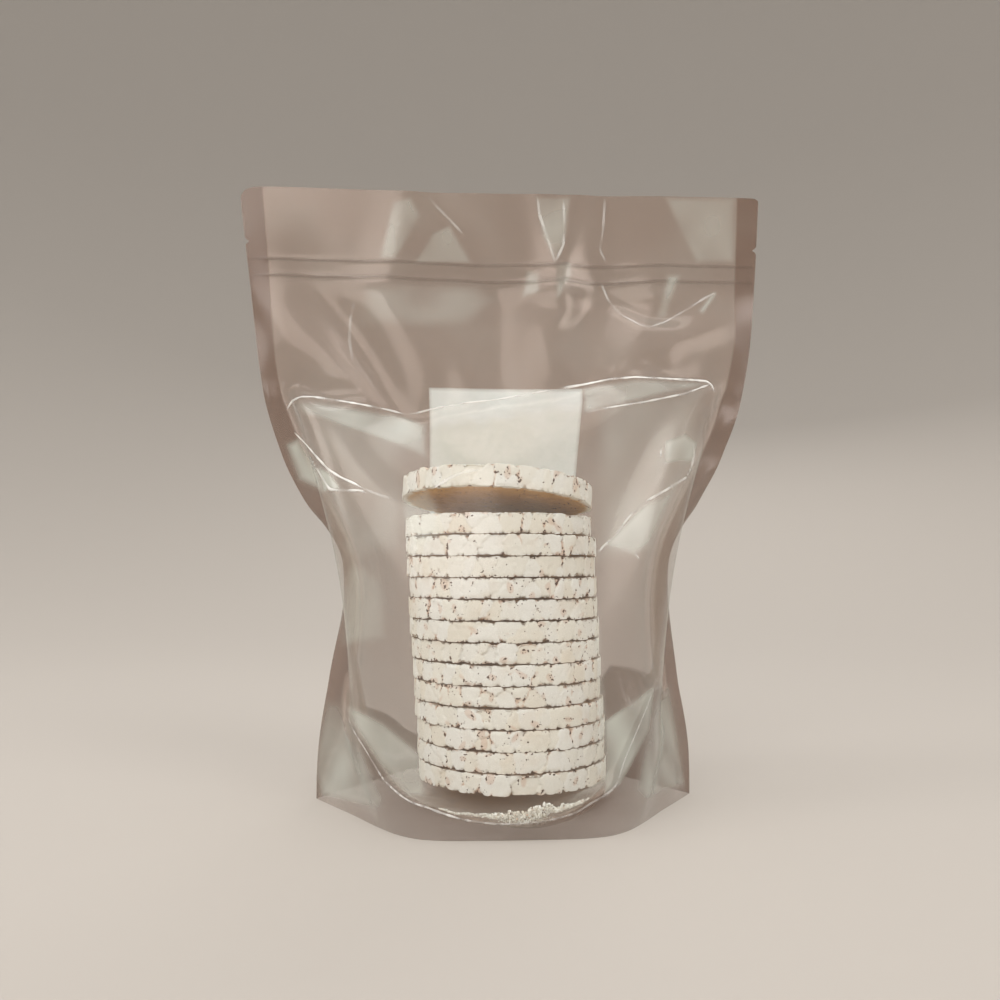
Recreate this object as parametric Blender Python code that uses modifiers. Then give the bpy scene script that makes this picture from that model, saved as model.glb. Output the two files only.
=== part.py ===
"""A clear stand-up zip pouch that holds a stack of puffed rice crackers, with a paper label on its back.

The pouch is one closed solid that stands on its bottom seal. It is a loft from the base to the top edge. Each level
is one closed outline: a thin seal at either side and, between the seals, a front and a back film that bulge as
superellipses. Low down the bottom seal steps in along a U-shaped line, and near the top the films lie flat and carry
the two ridges of the zip. The label is a thin curved sheet that follows the back film.

Metres, +Z up, -Y towards the viewer, origin in the middle of the base.
"""

import math

import bmesh
import bpy
import numpy as np

MM = 0.001

# Driving sizes of the pouch.
POUCH_WIDTH = 250 * MM
POUCH_HEIGHT = 290 * MM
BASE_WIDTH = 181 * MM
BASE_DEPTH = 140 * MM
WAIST_WIDTH = 156.5 * MM
WAIST_HEIGHT = 108 * MM
WAIST_DEPTH = 118 * MM
SHOULDER_HEIGHT = 194 * MM
SHOULDER_WIDTH = 230 * MM

# Seals, zip and notches.
SIDE_SEAL_WIDTH = 10.5 * MM
SEAL_THICKNESS = 1.0 * MM
BOTTOM_SEAL_HEIGHT = 7 * MM
GUSSET_HEIGHT = 67 * MM
BOTTOM_SEAL_STEP = 1.2 * MM
ZIP_LINES = (248 * MM, 256.5 * MM)
ZIP_RIDGE_WIDTH = 1.8 * MM
ZIP_RIDGE_DEPTH = 0.9 * MM
NOTCH_HEIGHT = 264.5 * MM
NOTCH_SIZE = 2.2 * MM
LEFT_CORNER_RADIUS = 6 * MM
RIGHT_CORNER_RADIUS = 1.6 * MM

# The two films together wave gently above the shoulder.
HEADER_WAVE = 3.5 * MM
HEADER_WAVE_LENGTH = 165 * MM
HEADER_WAVE_START = 200 * MM
HEADER_WAVE_RISE = 60 * MM

# Label on the back film.
LABEL_WIDTH = 78 * MM
LABEL_TOP = 198 * MM
LABEL_BOTTOM = 84 * MM
LABEL_THICKNESS = 0.4 * MM
LABEL_GAP = 0.35 * MM

# Points along one film between its seals, and the step between levels.
FILM_POINTS = 29
LEVEL_STEP = 6.5 * MM
SHOULDER_LEVEL_STEP = 3.2 * MM
LABEL_COLUMNS = 13

# How far the left and the right edge stand from the middle at each height: rim, gusset top, waist, under the
# shoulder, shoulder, top edge. The waist sits a little to the right.
LEFT_EDGE = (
    (0.0, BASE_WIDTH / 2 - 0.8 * MM),
    (56 * MM, 84 * MM),
    (WAIST_HEIGHT - 7 * MM, WAIST_WIDTH / 2 - 1.4 * MM),
    (WAIST_HEIGHT + 6 * MM, WAIST_WIDTH / 2 - 1.2 * MM),
    (142 * MM, 95.5 * MM),
    (162 * MM, 105.5 * MM),
    (SHOULDER_HEIGHT, SHOULDER_WIDTH / 2),
    (230 * MM, 119.5 * MM),
    (POUCH_HEIGHT, POUCH_WIDTH / 2 + MM),
)
RIGHT_EDGE = (
    (0.0, BASE_WIDTH / 2 + 0.8 * MM),
    (56 * MM, 84 * MM),
    (WAIST_HEIGHT - 7 * MM, WAIST_WIDTH / 2 + 1.4 * MM),
    (WAIST_HEIGHT + 6 * MM, WAIST_WIDTH / 2 + 1.4 * MM),
    (142 * MM, 94.5 * MM),
    (162 * MM, 105 * MM),
    (SHOULDER_HEIGHT, SHOULDER_WIDTH / 2 + MM),
    (230 * MM, 121 * MM),
    (POUCH_HEIGHT, POUCH_WIDTH / 2 - MM),
)
# How far the front film stands forward of the seals at each height, with a crease at the shoulder.
FRONT_BULGE = (
    (0.0, BASE_DEPTH / 2 - BOTTOM_SEAL_STEP),
    (50 * MM, 65.5 * MM),
    (WAIST_HEIGHT, WAIST_DEPTH / 2),
    (150 * MM, 46 * MM),
    (SHOULDER_HEIGHT - 3 * MM, 12.5 * MM),
    (SHOULDER_HEIGHT + 5 * MM, 7.5 * MM),
    (230 * MM, 3 * MM),
    (POUCH_HEIGHT, 0.8 * MM),
)
# The back film leans further out above the shoulder and has no crease.
BACK_BULGE = (
    (0.0, BASE_DEPTH / 2 - BOTTOM_SEAL_STEP),
    (50 * MM, 65.5 * MM),
    (WAIST_HEIGHT, WAIST_DEPTH / 2),
    (156 * MM, 43 * MM),
    (SHOULDER_HEIGHT, 17 * MM),
    (230 * MM, 4.5 * MM),
    (POUCH_HEIGHT, 0.8 * MM),
)
# Superellipse exponent of the bulge: 2 is an ellipse, and more is squarer.
SQUARENESS = (
    (0.0, 2.15),
    (30 * MM, 2.4),
    (WAIST_HEIGHT, 2.9),
    (150 * MM, 2.5),
    (SHOULDER_HEIGHT, 2.3),
    (POUCH_HEIGHT, 2.0),
)


def smooth_through(stations, height):
    """The value at a height on the smooth curve through (height, value) stations, which never overshoots them."""
    x, y = np.array(stations, float).T
    rise = np.diff(y) / np.diff(x)
    slope = np.zeros(len(x))
    same_way = rise[:-1] * rise[1:] > 0
    mean = 2 * rise[:-1] * rise[1:] / np.where(same_way, rise[:-1] + rise[1:], 1)
    slope[1:-1] = np.where(same_way, mean, 0)
    slope[0], slope[-1] = rise[0], rise[-1]
    i = int(np.clip(np.searchsorted(x, height) - 1, 0, len(x) - 2))
    span = x[i + 1] - x[i]
    t = (height - x[i]) / span
    return (
        y[i] * (1 + 2 * t) * (1 - t) ** 2
        + slope[i] * span * t * (1 - t) ** 2
        + y[i + 1] * t * t * (3 - 2 * t)
        + slope[i + 1] * span * t * t * (t - 1)
    )


def smoothstep(t):
    """0 below 0, 1 above 1 and an S-curve between."""
    t = min(max(t, 0.0), 1.0)
    return t * t * (3 - 2 * t)


def header_wave(x, z):
    """How far both films together stand off the plane of the seals above the shoulder."""
    share = smoothstep((z - HEADER_WAVE_START) / HEADER_WAVE_RISE)
    return HEADER_WAVE * share * math.sin(math.tau * x / HEADER_WAVE_LENGTH)


def bottom_seal_step(across, z):
    """How far the film stands out above the U-shaped edge of the bottom seal, across being -1 to 1."""
    edge = BOTTOM_SEAL_HEIGHT + (GUSSET_HEIGHT - BOTTOM_SEAL_HEIGHT) * abs(across) ** 3
    return BOTTOM_SEAL_STEP * smoothstep((z - edge) / (4 * BOTTOM_SEAL_STEP))


def zip_ridge(z):
    """How far the zip's two ridges stand proud of the film."""
    return ZIP_RIDGE_DEPTH * max(
        smoothstep(2 - 2 * abs(z - line) / (ZIP_RIDGE_WIDTH / 2)) for line in ZIP_LINES
    )


def corner_cut(z, radius):
    """How much a top corner of that radius takes off the half width."""
    above = max(0.0, z - (POUCH_HEIGHT - radius))
    return radius - math.sqrt(max(0.0, radius * radius - above * above))


def chord(z):
    """The middle and the half width of the films between the side seals at a height."""
    left = -smooth_through(LEFT_EDGE, z)
    right = smooth_through(RIGHT_EDGE, z)
    return (left + right) / 2, (right - left) / 2 - SIDE_SEAL_WIDTH


def film_depth(x, z, bulge):
    """Distance of a film from the plane of the seals, at x across and z up."""
    middle, half = chord(z)
    power = smooth_through(SQUARENESS, z)
    across = (x - middle) / half
    share = max(0.0, 1 - abs(across) ** power) ** (1 / power)
    proud = bottom_seal_step(across, z) + zip_ridge(z)
    return SEAL_THICKNESS / 2 + (smooth_through(bulge, z) + proud) * share


def film_stops(z):
    """The x of each point along one film at a height, from its left seal to its right one."""
    middle, half = chord(z)
    power = smooth_through(SQUARENESS, z)
    turns = [math.cos(angle) for angle in np.linspace(math.pi, 0.0, FILM_POINTS)]
    return [middle + half * math.copysign(abs(turn) ** (2 / power), turn) for turn in turns]


def outline(z):
    """The pouch's closed outline at a height, as (x, y), anticlockwise from above."""
    left = corner_cut(z, LEFT_CORNER_RADIUS) - smooth_through(LEFT_EDGE, z)
    right = smooth_through(RIGHT_EDGE, z) - corner_cut(z, RIGHT_CORNER_RADIUS)
    edge = SEAL_THICKNESS / 2
    stops = film_stops(z)
    front = [(x, -film_depth(x, z, FRONT_BULGE)) for x in stops]
    back = [(x, film_depth(x, z, BACK_BULGE)) for x in reversed(stops)]
    flat = [(left, -edge), *front, (right, -edge), (right, edge), *back, (left, edge)]
    return [(x, y + header_wave(x, z)) for x, y in flat]


def levels():
    """The heights of the outlines: even steps, finer at the shoulder, the zip and the top corners."""
    heights = list(np.arange(0.0, POUCH_HEIGHT - LEFT_CORNER_RADIUS, LEVEL_STEP))
    heights += list(
        np.arange(SHOULDER_HEIGHT - 10 * MM, SHOULDER_HEIGHT + 12 * MM, SHOULDER_LEVEL_STEP)
    )
    heights += [BOTTOM_SEAL_HEIGHT / 3, BOTTOM_SEAL_HEIGHT * 1.6]
    keep_clear = [(line - ZIP_RIDGE_WIDTH, line + ZIP_RIDGE_WIDTH) for line in ZIP_LINES]
    heights = [z for z in heights if not any(low < z < high for low, high in keep_clear)]
    for line in ZIP_LINES:
        heights += [line + share * ZIP_RIDGE_WIDTH for share in (-0.5, -0.25, 0.25, 0.5)]
    turns = [math.sin(math.radians(angle)) for angle in (0, 25, 45, 65, 90)]
    heights += [POUCH_HEIGHT - LEFT_CORNER_RADIUS * (1 - turn) for turn in turns]
    heights = sorted(heights)
    nearest = SHOULDER_LEVEL_STEP / 8
    return [z for z, after in zip(heights, heights[1:] + [1.0]) if after - z > nearest]


def material(name, colour, roughness, alpha=1.0):
    """A Principled BSDF of that colour."""
    made = bpy.data.materials.new(name)
    made.use_nodes = True
    shader = made.node_tree.nodes["Principled BSDF"]
    shader.inputs["Base Color"].default_value = (*colour, 1.0)
    shader.inputs["Roughness"].default_value = roughness
    shader.inputs["Alpha"].default_value = alpha
    return made


def new_object(name, shape, collection, finish=None):
    """Puts a bmesh into a new object of that name and collection."""
    mesh = bpy.data.meshes.new(name)
    shape.to_mesh(mesh)
    shape.free()
    made = bpy.data.objects.new(name, mesh)
    collection.objects.link(made)
    if finish:
        mesh.materials.append(finish)
    return made


def cutter(name, shape, collection, target):
    """A hidden object that is cut out of the target."""
    made = new_object(name, shape, collection)
    made.hide_render = True
    made.display_type = "WIRE"
    cut = target.modifiers.new(name, "BOOLEAN")
    cut.operation = "DIFFERENCE"
    cut.object = made
    return made


def build_pouch(parts, cutters):
    """The pouch: a loft through the outlines, notched at both edges for tearing."""
    shape = bmesh.new()
    rings = [[shape.verts.new((x, y, z)) for x, y in outline(z)] for z in levels()]
    for low, high in zip(rings, rings[1:]):
        for i in range(len(low)):
            after = (i + 1) % len(low)
            shape.faces.new((low[i], low[after], high[after], high[i]))
    shape.faces.new(reversed(rings[0]))
    shape.faces.new(rings[-1])
    pouch = new_object("pouch", shape, parts, material("clear_film", (0.80, 0.78, 0.75), 0.15, 0.35))

    sides = (("left_notch", -1, LEFT_EDGE), ("right_notch", 1, RIGHT_EDGE))
    for name, side, stations in sides:
        edge = smooth_through(stations, NOTCH_HEIGHT)
        notch = bmesh.new()
        bmesh.ops.create_cube(notch, size=NOTCH_SIZE * math.sqrt(2))
        bmesh.ops.scale(notch, vec=(1, 5, 1), verts=notch.verts)
        made = cutter(name, notch, cutters, pouch)
        made.rotation_euler = (0, math.radians(45), 0)
        made.location = (side * edge, header_wave(side * edge, NOTCH_HEIGHT), NOTCH_HEIGHT)
    return pouch


def build_label(parts):
    """The paper label, a thin sheet that follows the back film a hair's breadth outside it."""
    heights = [z for z in levels() if LABEL_BOTTOM < z < LABEL_TOP]
    heights = [LABEL_BOTTOM, *heights, LABEL_TOP]
    stops = np.linspace(-LABEL_WIDTH / 2, LABEL_WIDTH / 2, LABEL_COLUMNS)
    shape = bmesh.new()
    grid = [
        [shape.verts.new((x, film_depth(x, z, BACK_BULGE) + header_wave(x, z), z)) for x in stops]
        for z in heights
    ]
    for low, high in zip(grid, grid[1:]):
        for i in range(len(low) - 1):
            shape.faces.new((low[i + 1], low[i], high[i], high[i + 1]))
    shape.normal_update()
    for vert, normal in [(v, v.normal.copy()) for v in shape.verts]:
        vert.co += normal * LABEL_GAP
    label = new_object("back_label", shape, parts, material("label_paper", (0.82, 0.82, 0.74), 0.7))
    wall = label.modifiers.new("paper", "SOLIDIFY")
    wall.thickness = LABEL_THICKNESS
    wall.offset = 1.0
    return label


def main():
    """Builds the pouch and its label."""
    for old in list(bpy.data.objects):
        bpy.data.objects.remove(old)
    parts = bpy.data.collections.new("rice_cracker_pouch")
    cutters = bpy.data.collections.new("cutters")
    bpy.context.scene.collection.children.link(parts)
    bpy.context.scene.collection.children.link(cutters)
    pouch = build_pouch(parts, cutters)
    build_label(parts)
    pouch.data.shade_smooth()
    pouch.data.set_sharp_from_angle(angle=math.radians(40))


main()
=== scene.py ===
"""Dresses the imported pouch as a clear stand-up zip pouch of puffed rice crackers.

The pouch is made as a real one is: a flat pattern of film is bent to the standing outline and relaxed until it keeps
its flat lengths again, which raises the ridge, the shoulders and the folds. Inside stand the crackers and their
crumbs, and a bare paper label is stuck to the back film.

Lengths are in millimetres until a mesh is made. -Y faces the viewer and +Z is up.
"""

import logging
import math
from dataclasses import dataclass, replace
from enum import Enum
from itertools import combinations

import bpy
import numpy as np
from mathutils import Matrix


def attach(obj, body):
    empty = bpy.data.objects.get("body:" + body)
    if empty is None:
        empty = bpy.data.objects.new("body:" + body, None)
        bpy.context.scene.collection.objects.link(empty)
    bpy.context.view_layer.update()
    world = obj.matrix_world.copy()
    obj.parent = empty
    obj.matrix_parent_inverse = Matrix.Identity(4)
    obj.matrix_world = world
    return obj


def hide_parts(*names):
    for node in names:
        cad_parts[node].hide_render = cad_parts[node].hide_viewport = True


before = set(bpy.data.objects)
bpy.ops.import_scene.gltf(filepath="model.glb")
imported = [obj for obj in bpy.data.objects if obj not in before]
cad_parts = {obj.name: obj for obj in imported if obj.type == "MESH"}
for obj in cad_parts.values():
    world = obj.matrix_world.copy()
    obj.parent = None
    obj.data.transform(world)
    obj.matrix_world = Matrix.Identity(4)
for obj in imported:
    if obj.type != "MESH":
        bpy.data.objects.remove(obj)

LOG = logging.getLogger("pouch")
MM = 0.001
# Keeps a divisor from being 0.
TINY = 1e-9
Stations = tuple[tuple[float, float], ...]
Line = Stations
Colour = tuple[float, ...]
Place = tuple[float, float, float]
Array = np.ndarray
Fields = dict[str, Array]
Material = bpy.types.Material
Node = bpy.types.Node
NodeTree = bpy.types.NodeTree
Object = bpy.types.Object
Socket = bpy.types.NodeSocket


class Panel(Enum):
    """The two big films. The value is the side of the pouch that the film is on, along Y."""

    FRONT = -1
    BACK = 1


class Side(Enum):
    """The two side seals. The value is the side along X."""

    LEFT = -1
    RIGHT = 1


class Spread(Enum):
    """How close the rings of a cracker's faces lie: open to view, or hidden in the stack."""

    SHOWN = 56
    HIDDEN = 9


# Numbers and surfaces --------------------


def smooth_through(stations: Stations, at: Array | float) -> Array:
    """The smooth curve through stations that never overshoots them (piecewise cubic with harmonic mean slopes).

    Args:
        stations: (place, value) pairs in rising order of place.
        at: the places where the curve is wanted.

    Returns:
        The value at each place.
    """
    x, y = np.array(stations, float).T
    rise = np.diff(y) / np.diff(x)
    slope = np.empty(len(x))
    slope[0], slope[-1] = rise[0], rise[-1]
    same_way = rise[:-1] * rise[1:] > 0
    both = np.where(same_way, rise[:-1] + rise[1:], 1.0)
    slope[1:-1] = np.where(same_way, 2 * rise[:-1] * rise[1:] / both, 0.0)
    at = np.asarray(at, float)
    i = np.clip(np.searchsorted(x, at) - 1, 0, len(x) - 2)
    span = x[i + 1] - x[i]
    t = (at - x[i]) / span
    ends = y[i] * (1 + 2 * t) * (1 - t) ** 2 + y[i + 1] * t * t * (3 - 2 * t)
    return ends + span * t * (1 - t) * (slope[i] * (1 - t) - slope[i + 1] * t)


def smoothstep(t: Array) -> Array:
    """0 below 0, 1 above 1 and an S-curve between."""
    t = np.clip(t, 0.0, 1.0)
    return t * t * (3 - 2 * t)


def bell(t: Array, power: float = 2) -> Array:
    """1 at 0 and falling off to both sides, as a Gaussian where the power is 2."""
    return np.exp(-(t**power))


def run_length(points: Array) -> Array:
    """The distance along a line of points from its first one, one number per point."""
    steps = np.linalg.norm(np.diff(points, axis=0), axis=-1)
    return np.concatenate([[0.0], np.cumsum(steps)])


def ripple(points: Array, wave: float, seed: int) -> Array:
    """A smooth uneven field: 1.6 times the mean of nine plane waves in random directions.

    Args:
        points: places, with three coordinates last.
        wave: the mean wave length.
        seed: fixes the waves.

    Returns:
        One number per point, mostly -1 to 1.
    """
    rng, terms = np.random.default_rng(seed), 9
    ways = rng.normal(size=(terms, 3))
    ways *= math.tau / wave * rng.uniform(0.6, 1.5, (terms, 1)) / np.linalg.norm(ways, axis=1, keepdims=True)
    phases = rng.uniform(0, math.tau, terms)
    return np.sin(points @ ways.T + phases).sum(-1) * (1.6 / terms)


def cubic_along(values: Array, step: float, start: float, at: Array) -> Array:
    """Reads evenly spaced rows of values at any places, by Catmull-Rom cubics.

    Args:
        values: one row per step.
        step: the distance between rows.
        start: the place of the first row.
        at: the places to read.

    Returns:
        One row per place.
    """
    t = (at - start) / step
    i = np.clip(np.floor(t + 1e-9).astype(int), 0, len(values) - 2)
    f = (t - i).reshape(-1, *[1] * (values.ndim - 1))
    ends = np.concatenate([2 * values[:1] - values[1:2], values, 2 * values[-1:] - values[-2:-1]])
    a, b, c, d = ends[i], ends[i + 1], ends[i + 2], ends[i + 3]
    return 0.5 * (2 * b + (c - a) * f + (2 * a - 5 * b + 4 * c - d) * f**2 + (3 * b - a - 3 * c + d) * f**3)


def unit(vectors: Array) -> Array:
    """Vectors brought to length 1, with their coordinates last."""
    return vectors / (np.linalg.norm(vectors, axis=-1, keepdims=True) + TINY)


def grid_normals(surface: Array) -> Array:
    """Unit normals of a grid of points: the cross product of its column and row directions."""
    return unit(np.cross(np.gradient(surface, axis=1), np.gradient(surface, axis=0)))


@dataclass
class Sheet:
    """A film as a grid of points over its flat pattern, with u across and v along."""

    points: Array
    u: Array
    v: Array

    def resampled(self, u: Array, v: Array) -> "Sheet":
        """The same film on another even grid, with places u across and v along."""
        rows = np.swapaxes(cubic_along(self.points, self.v[1] - self.v[0], self.v[0], v), 0, 1)
        grid = np.swapaxes(cubic_along(rows, self.u[1] - self.u[0], self.u[0], u), 0, 1)
        return Sheet(np.ascontiguousarray(grid), u, v)

    def at(self, u: Array, v: Array) -> Array:
        """The places of points of the flat pattern, by Catmull-Rom cubics both ways.

        Args:
            u: across, any shape.
            v: along, the same shape.

        Returns:
            The places, with three coordinates last.
        """
        u, v = np.broadcast_arrays(u, v)
        s = (u - self.u[0]) / (self.u[1] - self.u[0])
        t = (v - self.v[0]) / (self.v[1] - self.v[0])
        j = np.clip(np.floor(s).astype(int), 0, len(self.u) - 2)
        i = np.clip(np.floor(t).astype(int), 0, len(self.v) - 2)
        padded = np.pad(self.points, ((1, 1), (1, 1), (0, 0)), mode="reflect", reflect_type="odd")

        def weights(f: Array) -> list[Array]:
            """The four Catmull-Rom weights of a fraction."""
            return [
                0.5 * (-f + 2 * f**2 - f**3),
                0.5 * (2 - 5 * f**2 + 3 * f**3),
                0.5 * (f + 4 * f**2 - 3 * f**3),
                0.5 * (f**3 - f**2),
            ]

        across, along = weights(s - j), weights(t - i)
        total = np.zeros(u.shape + (3,))
        for a in range(4):
            for b in range(4):
                total += (along[a] * across[b])[..., None] * padded[i + a, j + b]
        return total

    def normals_at(self, u: Array, v: Array, reach: float = 0.8) -> Array:
        """Unit normals on the flat pattern: the cross product of the ways between places a reach off."""
        across = self.at(u + reach, v) - self.at(u - reach, v)
        return unit(np.cross(across, self.at(u, v + reach) - self.at(u, v - reach)))


@dataclass(frozen=True)
class FrontView:
    """An upright plane through the pouch's middle, square to the camera, on which lines of the front film are laid out.

    They are in millimetres across and above the table, as seen from the eye.
    """

    eye: Place
    turn_deg: float
    distance: float

    def seen(self, points: Array) -> Array:
        """Where points show on the plane: the ray from the eye through each, cut at the plane's distance.

        Args:
            points: places, with three coordinates last.

        Returns:
            How far across and how high each shows, last.
        """
        turn = math.radians(self.turn_deg)
        way = points - np.array(self.eye)
        depth = way @ np.array([-math.sin(turn), math.cos(turn), 0])
        across = way @ np.array([math.cos(turn), math.sin(turn), 0])
        return np.stack([across, way[..., 2]], -1) * (self.distance / depth)[..., None] + [0, self.eye[2]]

    def on_film(self, film: Sheet, wanted: Array) -> tuple[Array, Array]:
        """The places on a film's flat pattern that show at given places of the plane.

        The nearest point of the film's grid is corrected five times by the local slopes (Newton's way).

        Args:
            film: the film.
            wanted: places on the plane, one row each.

        Returns:
            The pattern's u and v, one number per place.
        """
        wide, up = np.meshgrid(film.u, film.v)
        shown = self.seen(film.points).reshape(-1, 2)
        start = ((shown[None] - wanted[:, None]) ** 2).sum(-1).argmin(1)
        u, v = wide.ravel()[start], up.ravel()[start]
        for _ in range(5):
            here = self.seen(film.at(u, v))
            by_u = (self.seen(film.at(u + 0.5, v)) - here) * 2
            by_v = (self.seen(film.at(u, v + 0.5)) - here) * 2
            miss = wanted - here
            area = by_u[:, 0] * by_v[:, 1] - by_u[:, 1] * by_v[:, 0]
            area = np.where(np.abs(area) < 0.1, 0.1, area)
            u = u + np.clip((miss[:, 0] * by_v[:, 1] - miss[:, 1] * by_v[:, 0]) / area, -2, 2)
            v = v + np.clip((by_u[:, 0] * miss[:, 1] - by_u[:, 1] * miss[:, 0]) / area, -2, 2)
        return np.clip(u, film.u[0], film.u[-1]), np.clip(v, film.v[0], film.v[-1])


# Relaxing a film to its flat lengths --------------------


@dataclass
class LooseFilm:
    """A film while it is relaxed.

    free is 1 where a point may move and 0 where it is held, with a last axis of 1. across and along are the flat
    distances between columns and between rows.
    """

    points: Array
    free: Array
    across: float
    along: float

    def pull_pairs(self, first: tuple, second: tuple, rest: float, share: float = 1.0) -> None:
        """Moves pairs of points along the line between them until they are a rest length apart.

        Args:
            first: the index of each pair's first point.
            second: the index of each pair's second point.
            rest: the length wanted.
            share: how much of the error is taken out.
        """
        a, b, free_a, free_b = self.points[first], self.points[second], self.free[first], self.free[second]
        gap = b - a
        length = np.sqrt((gap * gap).sum(-1, keepdims=True)) + TINY
        move = (share * (length - rest) / length / (free_a + free_b + TINY)) * gap
        a += free_a * move
        b -= free_b * move

    def keep_lengths(self) -> None:
        """Restores the flat lengths of rows, columns and diagonals, every second link at a time, twice over."""
        every = slice(None)
        halves = [(slice(start, -1, 2), slice(start + 1, None, 2)) for start in (0, 1)]
        diagonal = math.hypot(self.across, self.along)
        for _ in range(2):
            for near, far in halves:
                self.pull_pairs((every, near), (every, far), self.across)
            for near, far in halves:
                self.pull_pairs((near, every), (far, every), self.along)
            for left, right in ((slice(None, -1), slice(1, None)), (slice(1, None), slice(None, -1))):
                for near, far in halves:
                    self.pull_pairs((near, left), (far, right), diagonal, 0.5)

    def resist_bending(self) -> None:
        """Evens out the curvature: moves each point a little against the Laplacian of the grid's Laplacian."""
        self.points -= self.free * 0.02 * laplacian(laplacian(self.points))

    def resist_folding(self, span: int, share: float) -> None:
        """Pushes points a span apart back towards their flat distance where a fold has drawn them together.

        Args:
            span: how many rows or columns apart.
            share: how much of the error is taken out.
        """
        every, near, far = slice(None), slice(None, -span), slice(span, None)
        for first, second, rest in (
            ((every, near), (every, far), span * self.across),
            ((near, every), (far, every), span * self.along),
        ):
            gap = self.points[second] - self.points[first]
            length = np.sqrt((gap * gap).sum(-1, keepdims=True)) + TINY
            push = (0.5 * share * np.minimum(length - rest, 0) / length) * gap
            change = np.zeros_like(self.points)
            change[first] += push
            change[second] -= push
            self.points += self.free * change


def laplacian(grid: Array) -> Array:
    """The sum of a grid's second differences down and across, each 0 on the borders that lack it."""
    total = np.zeros_like(grid)
    total[1:-1] += grid[2:] + grid[:-2] - 2 * grid[1:-1]
    total[:, 1:-1] += grid[:, 2:] + grid[:, :-2] - 2 * grid[:, 1:-1]
    return total


def even_out(points: Array) -> None:
    """Takes out what alternates from point to point: each inner point moves to a 1-2-1 mean, both ways."""
    points[1:-1] += 0.25 * (points[2:] + points[:-2] - 2 * points[1:-1])
    points[:, 1:-1] += 0.25 * (points[:, 2:] + points[:, :-2] - 2 * points[:, 1:-1])


@dataclass(frozen=True)
class Pass:
    """One round of relaxing, on a grid of its own.

    pull draws a film to its designed shape, and folding and span set how it resists sharp folds.
    """

    columns: int
    rows: int
    steps: int
    pull: float
    folding: float
    span: int


# The pouch's pattern and standing outline --------------------


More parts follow.
